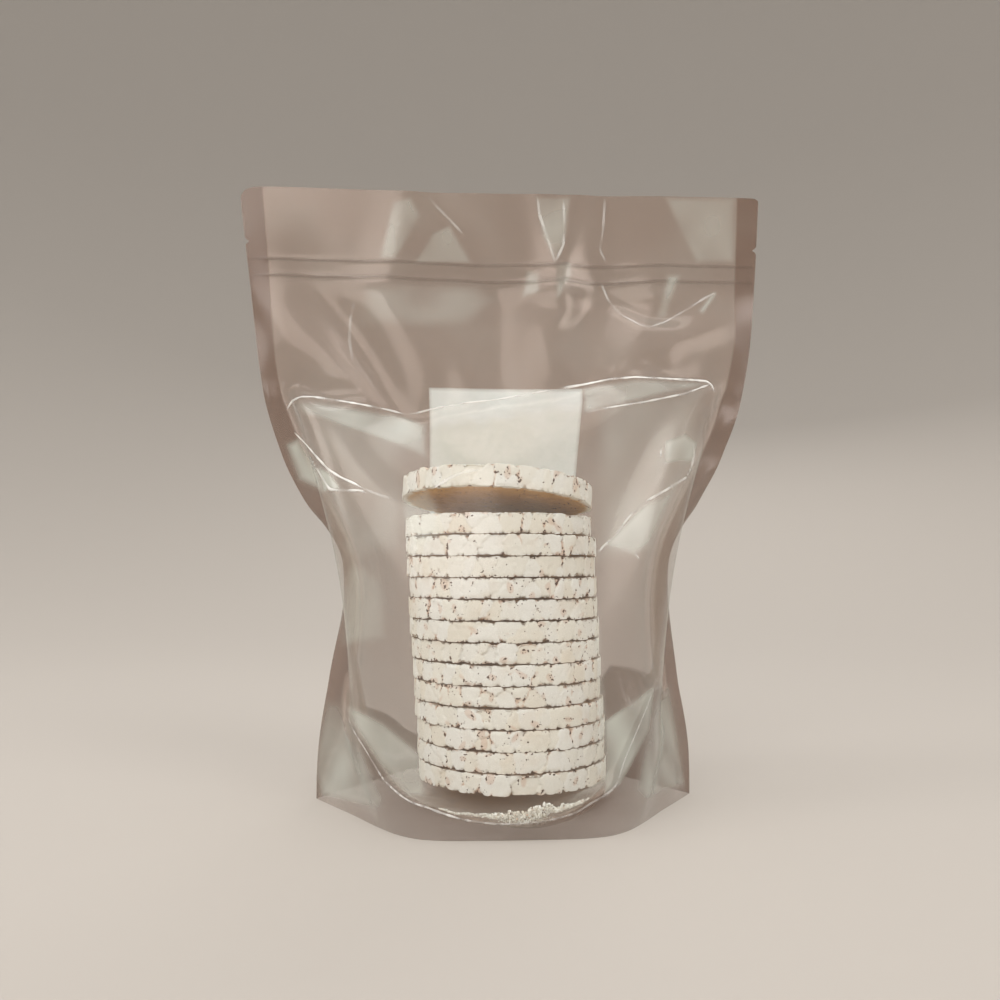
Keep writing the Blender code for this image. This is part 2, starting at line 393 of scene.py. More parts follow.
@dataclass(frozen=True)
class Pattern:
    """The pouch's flat pattern and the outline it stands in. u runs across from -width / 2, v up from the rim."""

    width: float = 250.6
    length: float = 300.0
    seal: float = 10.0
    height: float = 290.0
    gusset: float = 80.0
    zip_lines: tuple[float, float] = (258.6, 266.3)
    notch: float = 274.6
    # The two outer edges, the films' bulge in front and behind, and how square a level section is, by height.
    left_edge: Stations = (
        (0, 89.7), (56, 84), (101, 76.85), (114, 77.05), (142, 95.5), (162, 105.5), (194, 115), (230, 119.5),
        (290, 126),
    )
    right_edge: Stations = (
        (0, 91.3), (56, 84), (101, 79.65), (114, 79.65), (142, 94.5), (162, 105), (194, 116), (230, 121), (290, 124),
    )
    front_bulge: Stations = (
        (0, 66), (50, 68), (108, 66), (150, 55), (180, 36), (190, 26), (200, 15), (212, 8), (235, 3), (290, 0.4),
    )
    back_bulge: Stations = ((0, 65.5), (50, 64), (108, 58), (156, 42.5), (194, 17), (230, 4.5), (290, 0.4))
    squareness: Stations = ((0, 2.15), (30, 2.4), (108, 2.9), (150, 2.5), (194, 2.3), (290, 2.0))
    # Half of the rim that stands on the table, from the middle of the front to the tip: (x, distance in front).
    rim: Stations = ((0, 68.6), (24, 68.3), (37, 66), (47, 59.5), (55, 50), (71, 26.5), (80, 14), (89.8, 0.1))
    # The side seals are open below this height, so that the tips of the rim spread.
    open_below: float = 42.0
    rim_blend: float = 60.0
    # The height of the front film's ridge, from the left seal at -1 to the right one at 1.
    ridge: Stations = (
        (-1, 184), (-0.93, 189), (-0.6, 185.8), (-0.38, 179), (-0.28, 181.5), (0.1, 187.8), (0.25, 190.2),
        (0.52, 195.8), (0.93, 197), (1, 193),
    )
    ridge_height: float = 190.0
    ridge_slack: float = 8.5
    # Soft folds of the flat top: each from (u, v) to (u, v), how far it stands forward, and its width.
    folds: tuple[tuple[float, float, float, float, float, float], ...] = (
        (-36, 300, -4, 252, -3.0, 9.0), (-4, 252, -8, 214, -3.0, 9.0), (-46, 300, -60, 246, 2.4, 11.0),
        (-60, 246, -76, 200, 3.0, 11.0), (19, 300, 26, 250, 3.2, 7.0), (36, 300, 26, 250, 3.0, 6.0),
        (26, 250, 30, 226, 2.4, 7.0), (50, 300, 49, 256, -2.6, 9.0), (49, 256, 74, 226, -3.4, 9.0),
        (104, 244, 74, 226, -3.0, 8.0), (80, 290, 78, 240, 3.0, 13.0), (-100, 270, -82, 214, -2.6, 12.0),
    )
    # The U-shaped upper edge of the bottom seal, as the front view shows it.
    seal_line: Line = (
        (-79.5, 47.5), (-73.5, 40.5), (-70.5, 34), (-64, 24.5), (-57.5, 15), (-53, 8), (-48, 3), (-43, -1),
        (-38.5, -3.5), (-31, -6), (-26, -8), (-12, -12), (3, -13.5), (17, -12.5), (33, -8.5), (42, -3), (48, 0.5),
        (53, 5.5), (56, 15), (61, 27), (67.5, 41.5), (72, 51), (74.5, 56),
    )
    # How far up the film the bottom seal reaches, from the left seal at -1 to the right one at 1.
    bottom_seal: Stations = ()

    def with_seal_seen(self, film: Sheet, view: FrontView) -> "Pattern":
        """The same pattern with the bottom seal's edge laid where the front view shows it.

        Args:
            film: the finished front film.
            view: the front view.

        Returns:
            The pattern with its bottom_seal, carried up to the side seals.
        """
        u, v = view.on_film(film, np.array(self.seal_line))
        share = self.across(u)
        keep = np.concatenate([[True], np.diff(np.maximum.accumulate(share)) > 1e-3]) & (np.abs(share) < 0.98)
        found = tuple(zip(share[keep].tolist(), v[keep].tolist()))
        return replace(self, bottom_seal=((-1.05, found[0][1] + 9), *found, (1.05, found[-1][1] + 9)))

    @property
    def inner(self) -> float:
        """Half the width of the film between its side seals."""
        return self.width / 2 - self.seal

    def across(self, u: Array) -> Array:
        """u as a share of the way from the middle to a side seal, -1 to 1."""
        return np.clip(u / self.inner, -1, 1)

    def seal_top(self, u: Array) -> Array:
        """How far up the pattern the bottom seal reaches at places across."""
        return smooth_through(self.bottom_seal, self.across(u))

    def seam(self, side: Side, v: Array) -> tuple[Array, Array]:
        """The outer and the inner line of a side seal, standing.

        Args:
            side: which seal.
            v: distances up the pattern.

        Returns:
            The (x, z) of the outer and of the inner line.
        """
        z = np.linspace(0, self.height, 1200)
        x = side.value * smooth_through(self.left_edge if side is Side.LEFT else self.right_edge, z)
        line = np.stack([x, z], -1)
        along = run_length(line)
        along *= self.length / along[-1]
        way = np.gradient(line, along, axis=0)
        outer = np.stack([np.interp(v, along, line[:, k]) for k in (0, 1)], -1)
        way = np.stack([np.interp(v, along, way[:, k]) for k in (0, 1)], -1)
        way /= np.linalg.norm(way, axis=-1, keepdims=True)
        inward = side.value * self.seal * np.stack([-way[:, 1], way[:, 0]], -1)
        return outer, outer + inward

    def standing(self, panel: Panel, u: Array, v: Array) -> Array:
        """The designed shape of a film before it is relaxed.

        Each row lies on a superellipse between the side seals, as deep as the bulge at its height and even in arc
        length. Its height blends from the middle line's to the seals' by the 2.2th power of the way across. The front
        bulge is shifted so that its ridge follows the ridge line.

        Args:
            panel: which film.
            u: places across.
            v: places along.

        Returns:
            The grid of places, rows by v.
        """
        bulge = self.front_bulge if panel is Panel.FRONT else self.back_bulge
        z = np.linspace(0, self.height, 1200)
        middle = run_length(np.stack([smooth_through(bulge, z), z], -1))
        height = np.interp(v, middle * self.length / middle[-1], z)[:, None]
        left_outer, left_inner = self.seam(Side.LEFT, v)
        right_outer, right_inner = self.seam(Side.RIGHT, v)
        share = self.across(u)[None, :]
        seam_height = np.where(share < 0, left_inner[:, 1:], right_inner[:, 1:])
        heights = height + (seam_height - height) * np.abs(share) ** 2.2

        turn = np.linspace(math.pi, 0, 900)[None, :]
        power = 2 / smooth_through(self.squareness, height)
        centre = (left_inner[:, :1] + right_inner[:, :1]) / 2
        half = (right_inner[:, :1] - left_inner[:, :1]) / 2
        sweep = np.sign(np.cos(turn)) * np.abs(np.cos(turn)) ** power
        depth_at = height
        if panel is Panel.FRONT:
            lift = (self.ridge_height - smooth_through(self.ridge, sweep)) * np.clip((height - 120) / 50, 0, 1)
            depth_at = np.clip(height + lift, 0, self.height)
        depth = smooth_through(bulge, depth_at) * np.abs(np.sin(turn)) ** power
        x = centre + half * sweep
        step = np.hypot(np.diff(x, axis=1), np.diff(depth, axis=1))
        length = np.concatenate([np.zeros((len(v), 1)), np.cumsum(step, axis=1)], axis=1)
        length /= length[:, -1:]
        want = (share[0] + 1) / 2
        grid = np.empty((len(v), len(u), 3))
        for row in range(len(v)):
            grid[row, :, 0] = np.interp(want, length[row], x[row])
            grid[row, :, 1] = panel.value * np.interp(want, length[row], depth[row])
        grid[..., 2] = heights
        for side, outer, inner in ((Side.LEFT, left_outer, left_inner), (Side.RIGHT, right_outer, right_inner)):
            fin = u * side.value > self.inner - 1e-6
            out = ((u[fin] * side.value - self.inner) / self.seal)[None, :, None]
            line = inner[:, None] + (outer - inner)[:, None] * out
            grid[:, fin, 0], grid[:, fin, 2] = line[..., 0], line[..., 1]
            grid[:, fin, 1] = panel.value * 0.15
        grid[..., 2] = np.maximum(grid[..., 2], 0)
        grid[..., 1] += self.fold_relief(u[None, :], v[:, None])
        spread = smoothstep(1 - v / self.rim_blend)[:, None, None]
        return grid + (self.rim_line(panel, u)[None] + [0, 0, 1] * v[:, None, None] - grid) * spread

    def rim_line(self, panel: Panel, u: Array) -> Array:
        """The line on which a film stands, even in arc length from tip to tip.

        Args:
            panel: which film.
            u: places across.

        Returns:
            The line's place for each u.
        """
        x = np.linspace(-self.rim[-1][0], self.rim[-1][0], 1500)
        line = np.stack([x, panel.value * smooth_through(self.rim, np.abs(x)), np.zeros_like(x)], -1)
        along = run_length(line)
        want = (u / self.width + 0.5) * along[-1]
        return np.stack([np.interp(want, along, line[:, k]) for k in range(3)], -1)

    def fold_relief(self, u: Array, v: Array) -> Array:
        """How far the flat top's folds stand back: a Gaussian across each fold line, rounded off at its ends.

        Args:
            u: places across.
            v: places along.

        Returns:
            The distance along Y at each place.
        """
        total = np.zeros(np.broadcast(u, v).shape)
        for u1, v1, u2, v2, forward, wide in self.folds:
            way = np.array([u2 - u1, v2 - v1])
            share = np.clip(((u - u1) * way[0] + (v - v1) * way[1]) / (way @ way), 0, 1)
            far = np.hypot(u - u1 - share * way[0], v - v1 - share * way[1])
            total -= forward * bell(far / wide)
        return total * np.clip((self.inner - np.abs(u)) / 12, 0, 1) * smoothstep((v - 203) / 12)


@dataclass(frozen=True)
class Stack:
    """Where the crackers stand: a pile on the gusset that leans a little to the left, with its top one tilted."""

    count: int = 14
    radius: float = 45.0
    thickness: float = 9.34
    pitch: float = 9.42
    base: float = 11.4
    foot_x: float = 3.4
    head_x: float = -3.1
    lift_deg: float = 6.2
    roll_deg: float = 3.2
    head_radius: float = 45.6
    head_thickness: float = 10.2
    # How far outside the crackers the film stays.
    clearance: float = 1.1

    @property
    def top(self) -> float:
        """The height of the highest level cracker's upper face."""
        return self.base + (self.count - 1) * self.pitch

    @property
    def head_tilt(self) -> Array:
        """The rotation of the top cracker: its front is lifted and its right side dropped.

        Returns:
            A 3 by 3 rotation.
        """
        p, r = math.radians(-self.lift_deg), math.radians(self.roll_deg)
        about_x = np.array([[1, 0, 0], [0, math.cos(p), -math.sin(p)], [0, math.sin(p), math.cos(p)]])
        about_y = np.array([[math.cos(r), 0, math.sin(r)], [0, 1, 0], [-math.sin(r), 0, math.cos(r)]])
        return about_y @ about_x

    @property
    def head_middle(self) -> Array:
        """The middle of the top cracker, which rests on the pile with its back edge."""
        lift = math.sin(math.radians(self.lift_deg)) + math.sin(math.radians(self.roll_deg)) * 0.3
        return np.array([self.head_x - 0.6, 0.6, self.top + self.head_thickness / 2 + self.radius * lift + 0.2])

    def axis_x(self, z: Array | float) -> Array:
        """The x of the pile's middle at a height."""
        return self.foot_x + (self.head_x - self.foot_x) * np.clip((z - self.base) / (self.top - self.base), 0, 1.1)

    def push_out(self, points: Array) -> None:
        """Moves film points that are inside the pile or its top cracker straight out of their sides.

        Beyond their ends the distance that is kept falls off, as over a cone.

        Args:
            points: the film's points, changed in place.
        """
        centre = np.stack([self.axis_x(points[..., 2]), np.zeros_like(points[..., 2])], -1)
        flat = points[..., :2] - centre
        reach = np.where(points[..., 2] < self.base - 2, 0, self.radius + self.clearance)
        reach = reach - np.clip(points[..., 2] - self.top, 0, 40) * 2.2
        out = np.maximum(np.linalg.norm(flat, axis=-1), 1e-6)
        points[..., :2] = centre + flat * np.maximum(reach / out, 1)[..., None]
        local = (points - self.head_middle) @ self.head_tilt
        beyond = np.abs(local[..., 2]) - self.head_thickness / 2
        reach = self.head_radius + self.clearance - np.clip(beyond - 0.3, 0, 40) * 4
        out = np.maximum(np.linalg.norm(local[..., :2], axis=-1), 1e-6)
        local[..., :2] *= np.maximum(reach / out, 1)[..., None]
        points[:] = local @ self.head_tilt.T + self.head_middle


@dataclass
class FilmMaker:
    """Relaxes the two big films and the gusset until they keep their flat lengths around the stack."""

    pattern: Pattern
    stack: Stack
    seed: int = 4
    passes: tuple[Pass, ...] = (
        Pass(18, 21, 500, 0.002, 0.0, 2),
        Pass(36, 41, 500, 0.0003, 0.05, 2),
        Pass(64, 76, 400, 0.0, 0.08, 3),
        Pass(120, 144, 260, 0.0, 0.10, 4),
    )
    film_gap: float = 0.3
    zip_gap: float = 0.9
    keep: float = 0.9
    pressure: float = 0.0008
    calm_share: float = 0.95
    weld_depth: float = 0.22
    # The gusset's fold stands this high, and its front and back edges this much lower.
    roof: float = 11.2
    roof_drop: float = 6.4

    def films(self) -> dict[Panel, Sheet]:
        """Bends both films to the standing outline and relaxes them, from a coarse grid to a fine one.

        Returns:
            The two finished films.
        """
        rng = np.random.default_rng(self.seed)
        shapes: dict[Panel, Sheet] = {}
        for number, one in enumerate(self.passes):
            u = np.linspace(-self.pattern.width / 2, self.pattern.width / 2, one.columns)
            v = np.linspace(0, self.pattern.length, one.rows)
            design = {panel: self.pattern.standing(panel, u, v) for panel in Panel}
            if number:
                shapes = {panel: sheet.resampled(u, v) for panel, sheet in shapes.items()}
            else:
                shapes = {panel: Sheet(grid.copy(), u, v) for panel, grid in design.items()}
                shake = rng.normal(0, 0.4, (one.rows, one.columns))
                for sheet in shapes.values():
                    sheet.points[..., 1] += shake
            self.relax(shapes, design, one)
            LOG.info("films relaxed on %d by %d", one.columns, one.rows)
        for sheet in shapes.values():
            self.calm(sheet)
        return shapes

    def calm(self, sheet: Sheet) -> None:
        """Lays the film flatter near the header's side seals and its mouth, where the real one is stiff.

        The points move towards a copy evened out 30 times, fully at the seals and not at all 42 mm inside them. The
        mouth's waves are drawn in.

        Args:
            sheet: the film, changed in place.
        """
        even = sheet.points.copy()
        for _ in range(30):
            even_out(even)
        share = smoothstep((np.abs(sheet.u) - self.pattern.inner + 42) / 26)[None] * self.calm_share
        share = share * (smoothstep((sheet.v - 196) / 14) * smoothstep((292 - sheet.v) / 14))[:, None]
        sheet.points += (even - sheet.points) * share[..., None]
        sheet.points[..., 1] *= 1 - 0.7 * smoothstep((sheet.v - 236) / 60)[:, None]

    def relax(self, shapes: dict[Panel, Sheet], design: dict[Panel, Array], one: Pass) -> None:
        """Relaxes both films on one grid.

        Each step keeps some speed, lets the air inside press outwards, and restores the flat lengths and then the
        contacts: the stack, the ground, the sealed sides, the closed zip and each other.

        Args:
            shapes: the films, changed in place.
            design: the designed shape of each.
            one: the pass.
        """
        front, back = shapes[Panel.FRONT].points, shapes[Panel.BACK].points
        u, v = shapes[Panel.FRONT].u, shapes[Panel.FRONT].v
        across, along = u[1] - u[0], v[1] - v[0]
        free = np.ones(front.shape[:2] + (1,))
        free[0] = 0
        opening = self.pattern.seal * 0.93 * smoothstep(1 - v / self.pattern.open_below)[:, None]
        sealed = np.clip((np.abs(u) - self.pattern.inner - opening) / across + 1.1, 0, 1)[..., None]
        closed = smoothstep(1.5 - np.abs(v - sum(self.pattern.zip_lines) / 2) / 6)[:, None, None]
        share = self.pattern.across(u)
        ridge_v = smooth_through(self.pattern.ridge, share) + self.pattern.ridge_slack
        top = (v[:, None] - ridge_v) / (self.pattern.zip_lines[0] - ridge_v)
        header = (top >= -0.4) & (top <= 1)
        # How far apart the films may be: more towards the ridge, and a little at the mouth.
        header_gap = 26 * (1 - np.clip(top, 0, 1)) ** 1.3 * (1 - 0.8 * np.abs(share) ** 4) + 3
        header_gap += np.clip(-top, 0, 1) * 150
        above = v >= 267.5
        mouth_gap = 0.9 + (v[above] - 267)[:, None] / 33 * 2.5
        air = np.clip((246 - v) / 12, 0, 1)[:, None, None] * self.pressure * across
        level = smoothstep((v - 244) / 12)[:, None, None] * np.array([0.004, 0.02, 0.06])
        steady = level + one.pull
        low = smoothstep((200 - v) / 20)[:, None, None]
        pulls = ((front, design[Panel.FRONT], steady), (back, design[Panel.BACK], steady + 0.001 * low))
        speeds = [np.zeros_like(front), np.zeros_like(back)]
        lean = np.array([0, 1.0, 0])
        for _ in range(one.steps):
            before = [front.copy(), back.copy()]
            for (points, wanted, pull), speed, way in zip(pulls, speeds, (1, -0.4)):
                points += speed + free * air * way * grid_normals(points)
                points += free * pull * (wanted - points)
                film = LooseFilm(points, free, across, along)
                film.resist_bending()
                if one.folding:
                    film.resist_folding(one.span, one.folding)
                film.keep_lengths()
                self.stack.push_out(points)
                np.maximum(points[..., 2], 0.2, out=points[..., 2])
                for edge in (0, -1):
                    points[:, edge, 0] = wanted[:, edge, 0]
                    points[:, edge, 2] = wanted[:, edge, 2]
                    points[:, edge, 1] *= 0.97
            for held, gap in ((sealed, self.film_gap), (closed, self.zip_gap)):
                middle = (front + back) / 2
                front += held * (middle - lean * gap / 2 - front)
                back += held * (middle + lean * gap / 2 - back)
            gap = back[..., 1] - front[..., 1]
            apart = np.clip(self.film_gap + 0.05 - gap, 0, None) * 0.5 * free[..., 0]
            apart[header] -= np.clip(gap[header] - header_gap[header], 0, None) * 0.25
            apart[above] -= np.clip(gap[above] - mouth_gap, 0, None) * 0.5
            front[..., 1] -= apart
            back[..., 1] += apart
            front[0], back[0] = design[Panel.FRONT][0], design[Panel.BACK][0]
            speeds = [(front - before[0]) * self.keep, (back - before[1]) * self.keep]
        for points in (front, back):
            even_out(points)

    def gusset(self, films: dict[Panel, Sheet]) -> Sheet:
        """The bottom film, folded out between the two bottom seals and let down under the stack.

        Its pattern runs from the front rim at -gusset over the fold at 0 to the back rim at gusset. Where it is welded
        to a big film it lies just inside that. Between, it is relaxed while it is drawn to a roof that is highest
        along the fold and at the sides.

        Args:
            films: the finished big films.

        Returns:
            The gusset.
        """
        pattern = self.pattern
        shape: Sheet | None = None
        for columns, rows, steps in ((32, 25, 300), (63, 49, 260), (125, 97, 120)):
            u = np.linspace(-pattern.width / 2, pattern.width / 2, columns)
            t = np.linspace(-pattern.gusset, pattern.gusset, rows)
            up = pattern.gusset - np.abs(t)[:, None]
            wide = np.broadcast_to(u, (rows, columns))
            welds = []
            for panel in Panel:
                skin = films[panel].at(wide, np.broadcast_to(up, wide.shape))
                inward = films[panel].normals_at(wide, np.broadcast_to(up, wide.shape)) * self.weld_depth
                welds.append(skin + inward * panel.value)
            weld = np.where((t < 0)[:, None, None], welds[0], welds[1])
            mid = np.abs(t) < 1e-9
            weld[mid] = (welds[0][mid] + welds[1][mid]) / 2
            welded = (up <= pattern.seal_top(u)) | (np.abs(wide) >= pattern.inner)
            x = np.clip(wide * 0.69, -80, 80)
            roof = self.roof - self.roof_drop * smoothstep(np.abs(t[:, None]) / 56)
            roof = roof + 46 * np.abs(pattern.across(u)) ** 6
            roof = np.stack([x, np.broadcast_to(t[:, None] * 0.97, x.shape), roof], -1)
            shape = shape.resampled(u, t) if shape else Sheet(roof.copy(), u, t)
            points = shape.points
            points[welded] = weld[welded]
            free = (~welded)[..., None].astype(float)
            film = LooseFilm(points, free, u[1] - u[0], t[1] - t[0])
            speed = np.zeros_like(points)
            for _ in range(steps):
                before = points.copy()
                points += speed
                points += free * 0.006 * (roof - points) * np.array([0, 0, 1.0])
                film.resist_bending()
                film.keep_lengths()
                out = np.hypot(points[..., 0] - self.stack.foot_x, points[..., 1])
                ceiling = np.where(out < self.stack.radius + 1.5, self.stack.base - 0.35, np.inf)
                height = points[..., 2]
                height[~welded] = np.clip(height, 0.6, ceiling)[~welded]
                speed = (points - before) * 0.85
        assert shape is not None
        return shape


# Meshes --------------------


def put_in_scene(name: str, data: bpy.types.ID) -> Object:
    """A new object in the scene, at the origin."""
    made = bpy.data.objects.new(name, data)
    bpy.context.scene.collection.objects.link(made)
    return made


def make_piece(
    name: str,
    points: Array,
    faces: list[Array],
    finish: Material,
    fields: Fields | None = None,
    flat: Array | None = None,
    sharp_deg: float = 180.0,
) -> Object:
    """A new mesh object at the origin, shaded smooth.

    Args:
        name: the piece's name.
        points: its points in millimetres.
        faces: arrays of point numbers, one row per face.
        finish: its material.
        fields: numbers per point that its material reads by name.
        flat: each point's place on the flat pattern, for the UV map.
        sharp_deg: edges that turn by more than this stay sharp.

    Returns:
        The object.
    """
    mesh = bpy.data.meshes.new(name)
    mesh.from_pydata((points * MM).tolist(), [], [face for part in faces for face in part.tolist()])
    mesh.polygons.foreach_set("use_smooth", np.ones(len(mesh.polygons), bool))
    for key, values in (fields or {}).items():
        mesh.attributes.new(key, "FLOAT", "POINT").data.foreach_set("value", values.astype(np.float32).ravel())
    if flat is not None:
        corners = np.empty(len(mesh.loops), np.int32)
        mesh.loops.foreach_get("vertex_index", corners)
        mesh.uv_layers.new(name="flat").data.foreach_set("uv", flat[corners].astype(np.float32).ravel())
    if sharp_deg < 180:
        mesh.set_sharp_from_angle(angle=math.radians(sharp_deg))
    mesh.materials.append(finish)
    LOG.info("%s: %d faces", name, len(mesh.polygons))
    return put_in_scene(name, mesh)


def tube_faces(rings: int, section: int, start: int = 0) -> list[Array]:
    """The faces of a closed tube: a wall of four-cornered faces and a cap at each end.

    Args:
        rings: its rings of points.
        section: the points in a ring.
        start: the number of its first point.

    Returns:
        The wall's faces and each cap's.
    """
    first = np.arange(section)[None] + start
    return [grid_faces(rings, section, start, ring=True), first, first[:, ::-1] + (rings - 1) * section]


def grid_faces(rows: int, columns: int, start: int = 0, flip: bool = False, ring: bool = False) -> Array:
    """The four-cornered faces of a grid of points numbered row by row.

    Args:
        rows: its rows.
        columns: its columns.
        start: the number of its first point.
        flip: turns the faces over.
        ring: joins the last column to the first.

    Returns:
        One row of four point numbers per face.
    """
    number = np.arange(rows * columns).reshape(rows, columns) + start
    if ring:
        number = np.concatenate([number, number[:, :1]], axis=1)
    faces = np.stack([number[:-1, :-1], number[:-1, 1:], number[1:, 1:], number[1:, :-1]], -1).reshape(-1, 4)
    return faces[:, ::-1] if flip else faces


def sheet_solid(
    surface: Array, normals: Array, thickness: float, flip: bool, relief: Array | float = 0.0
) -> tuple[Array, list[Array]]:
    """A closed thin solid around a grid, with a fine outer skin and an inner one of every second row and column.

    The skins lie half a thickness to each side. Round the border, three triangles join each stretch of the
    inner skin to two of the outer one.

    Args:
        surface: the middle surface's grid, with odd numbers of rows and columns.
        normals: its unit normals.
        thickness: the solid's thickness.
        flip: set if the normals point into the pouch.
        relief: how far the outer skin stands out further.

    Returns:
        The points (outer skin first) and the faces.
    """
    rows, columns = surface.shape[:2]
    outward = -normals if flip else normals
    outer = surface + outward * (thickness / 2 + np.broadcast_to(relief, surface.shape[:2]))[..., None]
    inner = (surface - outward * thickness / 2)[::2, ::2]
    points = np.concatenate([outer.reshape(-1, 3), inner.reshape(-1, 3)])
    fine = np.arange(rows * columns).reshape(rows, columns)
    coarse = np.arange(inner.shape[0] * inner.shape[1]).reshape(inner.shape[:2]) + fine.size

    def border(number: Array) -> Array:
        """The border's point numbers, once round."""
        return np.concatenate([number[0, :-1], number[:-1, -1], number[-1, :0:-1], number[:0:-1, 0]])

    round_fine, round_coarse = border(fine), border(coarse)
    start, middle, end = round_fine[::2], round_fine[1::2], np.roll(round_fine, -2)[::2]
    low, high = round_coarse, np.roll(round_coarse, -1)
    rim = np.concatenate(
        [np.stack([start, low, middle], -1), np.stack([middle, low, high], -1), np.stack([middle, high, end], -1)]
    )
    skins = [grid_faces(rows, columns, 0, flip), grid_faces(*inner.shape[:2], fine.size, not flip)]
    return points, [*skins, rim[:, ::-1] if flip else rim]


# Finishes --------------------


def srgb(red: float, green: float, blue: float) -> Colour:
    """A colour given as 0 to 255 screen values, in linear light."""
    share = np.array([red, green, blue]) / 255
    return (*np.where(share <= 0.04045, share / 12.92, ((share + 0.055) / 1.055) ** 2.4).tolist(), 1.0)


@dataclass
class Shader:
    """Writes a material's or a group's nodes, a line at a time."""

    tree: NodeTree

    def feed(self, node: Node, inputs: dict) -> None:
        """Links or sets a node's inputs.

        Args:
            node: the node.
            inputs: sockets or constants, by the input's name or number.
        """
        for key, value in inputs.items():
            if isinstance(value, Socket):
                self.tree.links.new(value, node.inputs[key])
            else:
                node.inputs[key].default_value = value

    def add(self, kind: str, inputs: dict | None = None, **settings: object) -> Node:
        """Adds a node.

        Args:
            kind: its type.
            inputs: what its inputs get, as for feed.
            **settings: its properties.

        Returns:
            The node.
        """
        node = self.tree.nodes.new(kind)
        for key, value in settings.items():
            setattr(node, key, value)
        self.feed(node, inputs or {})
        return node

    def math(self, operation: str, *values: Socket | float, clamp: bool = False) -> Socket:
        """A Math node's result."""
        inputs = dict(enumerate(values))
        return self.add("ShaderNodeMath", inputs, operation=operation, use_clamp=clamp).outputs[0]

    def blend(self, share: Socket | float, first: object, second: object) -> Socket:
        """A colour mixed from two."""
        node = self.add("ShaderNodeMix", {0: share, 6: first, 7: second}, data_type="RGBA")
        return node.outputs[2]

    def remap(self, value: Socket, low: float, high: float) -> Socket:
        """0 below the low value, 1 above the high one and an S-curve between."""
        return self.add("ShaderNodeMapRange", {0: value, 1: low, 2: high}, interpolation_type="SMOOTHSTEP").outputs[0]

    def noise(self, place: Socket, scale: float, detail: float = 2.0, roughness: float = 0.5) -> Socket:
        """Noise at a place, 0 to 1."""
        inputs = {"Vector": place, "Scale": scale, "Detail": detail, "Roughness": roughness}
        return self.add("ShaderNodeTexNoise", inputs).outputs["Fac"]

    def field(self, name: str) -> Socket:
        """The number that each point of the mesh carries under a name."""
        return self.add("ShaderNodeAttribute", attribute_name=name).outputs["Fac"]

    def place(self) -> Socket:
        """Object coordinates, in metres."""
        return self.add("ShaderNodeTexCoord").outputs["Object"]


def new_material(name: str) -> tuple[Material, Shader, Node]:
    """A new material, what writes its nodes, and its Principled BSDF."""
    made = bpy.data.materials.new(name)
    made.use_nodes = True
    return made, Shader(made.node_tree), made.node_tree.nodes["Principled BSDF"]


def new_group(name: str, inputs: dict[str, float], outputs: tuple[str, ...]) -> tuple[NodeTree, Shader]:
    """An empty shader group with numbers as inputs and outputs.

    Args:
        name: its name.
        inputs: its inputs and their usual values.
        outputs: its outputs.

    Returns:
        The group and what writes its nodes.
    """
    tree = bpy.data.node_groups.new(name, "ShaderNodeTree")
    for key, value in inputs.items():
        tree.interface.new_socket(key, in_out="INPUT", socket_type="NodeSocketFloat").default_value = value
    for key in outputs:
        tree.interface.new_socket(key, in_out="OUTPUT", socket_type="NodeSocketFloat")
    return tree, Shader(tree)


def grain_speckle() -> NodeTree:
    """Husk flecks and toasted patches of puffed grain, for the crackers and for their crumbs.

    Flecks are where a fine noise rises over a bar that is lower where husks gather. Toast is a wide noise, and
    Relief, for the puffed skin, is a fine one.

    Returns:
        The group.
    """
    group, write = new_group("grain_speckle", {"Husk": 0.0}, ("Fleck", "Toast", "Relief"))
    given = write.add("NodeGroupInput")
    place = write.place()
    fine = write.noise(place, 820, 1.0, 0.5)
    bar = write.math("MULTIPLY_ADD", given.outputs["Husk"], -0.25, 0.745)
    fleck = write.remap(write.math("SUBTRACT", fine, bar), 0.0, 0.03)
    toast = write.remap(write.noise(place, 70, 2.0), 0.5, 0.72)
    relief = write.noise(place, 420, 3.0, 0.6)
    write.add("NodeGroupOutput", {"Fleck": fleck, "Toast": toast, "Relief": relief})
    return group


def film_clouding() -> NodeTree:
    """Clouding of clear film: a wide noise makes it less clear in places, and a second one a little uneven.

    Returns:
        The group.
    """
    group, write = new_group("film_clouding", {"Amount": 0.03}, ("Cloud", "Relief"))
    given = write.add("NodeGroupInput")
    place = write.place()
    cloud = write.remap(write.noise(place, 26, 3.0, 0.55), 0.42, 0.72)
    cloud = write.math("MULTIPLY", cloud, given.outputs["Amount"])
    relief = write.noise(place, 36, 1.0, 0.4)
    write.add("NodeGroupOutput", {"Cloud": cloud, "Relief": relief})
    return group


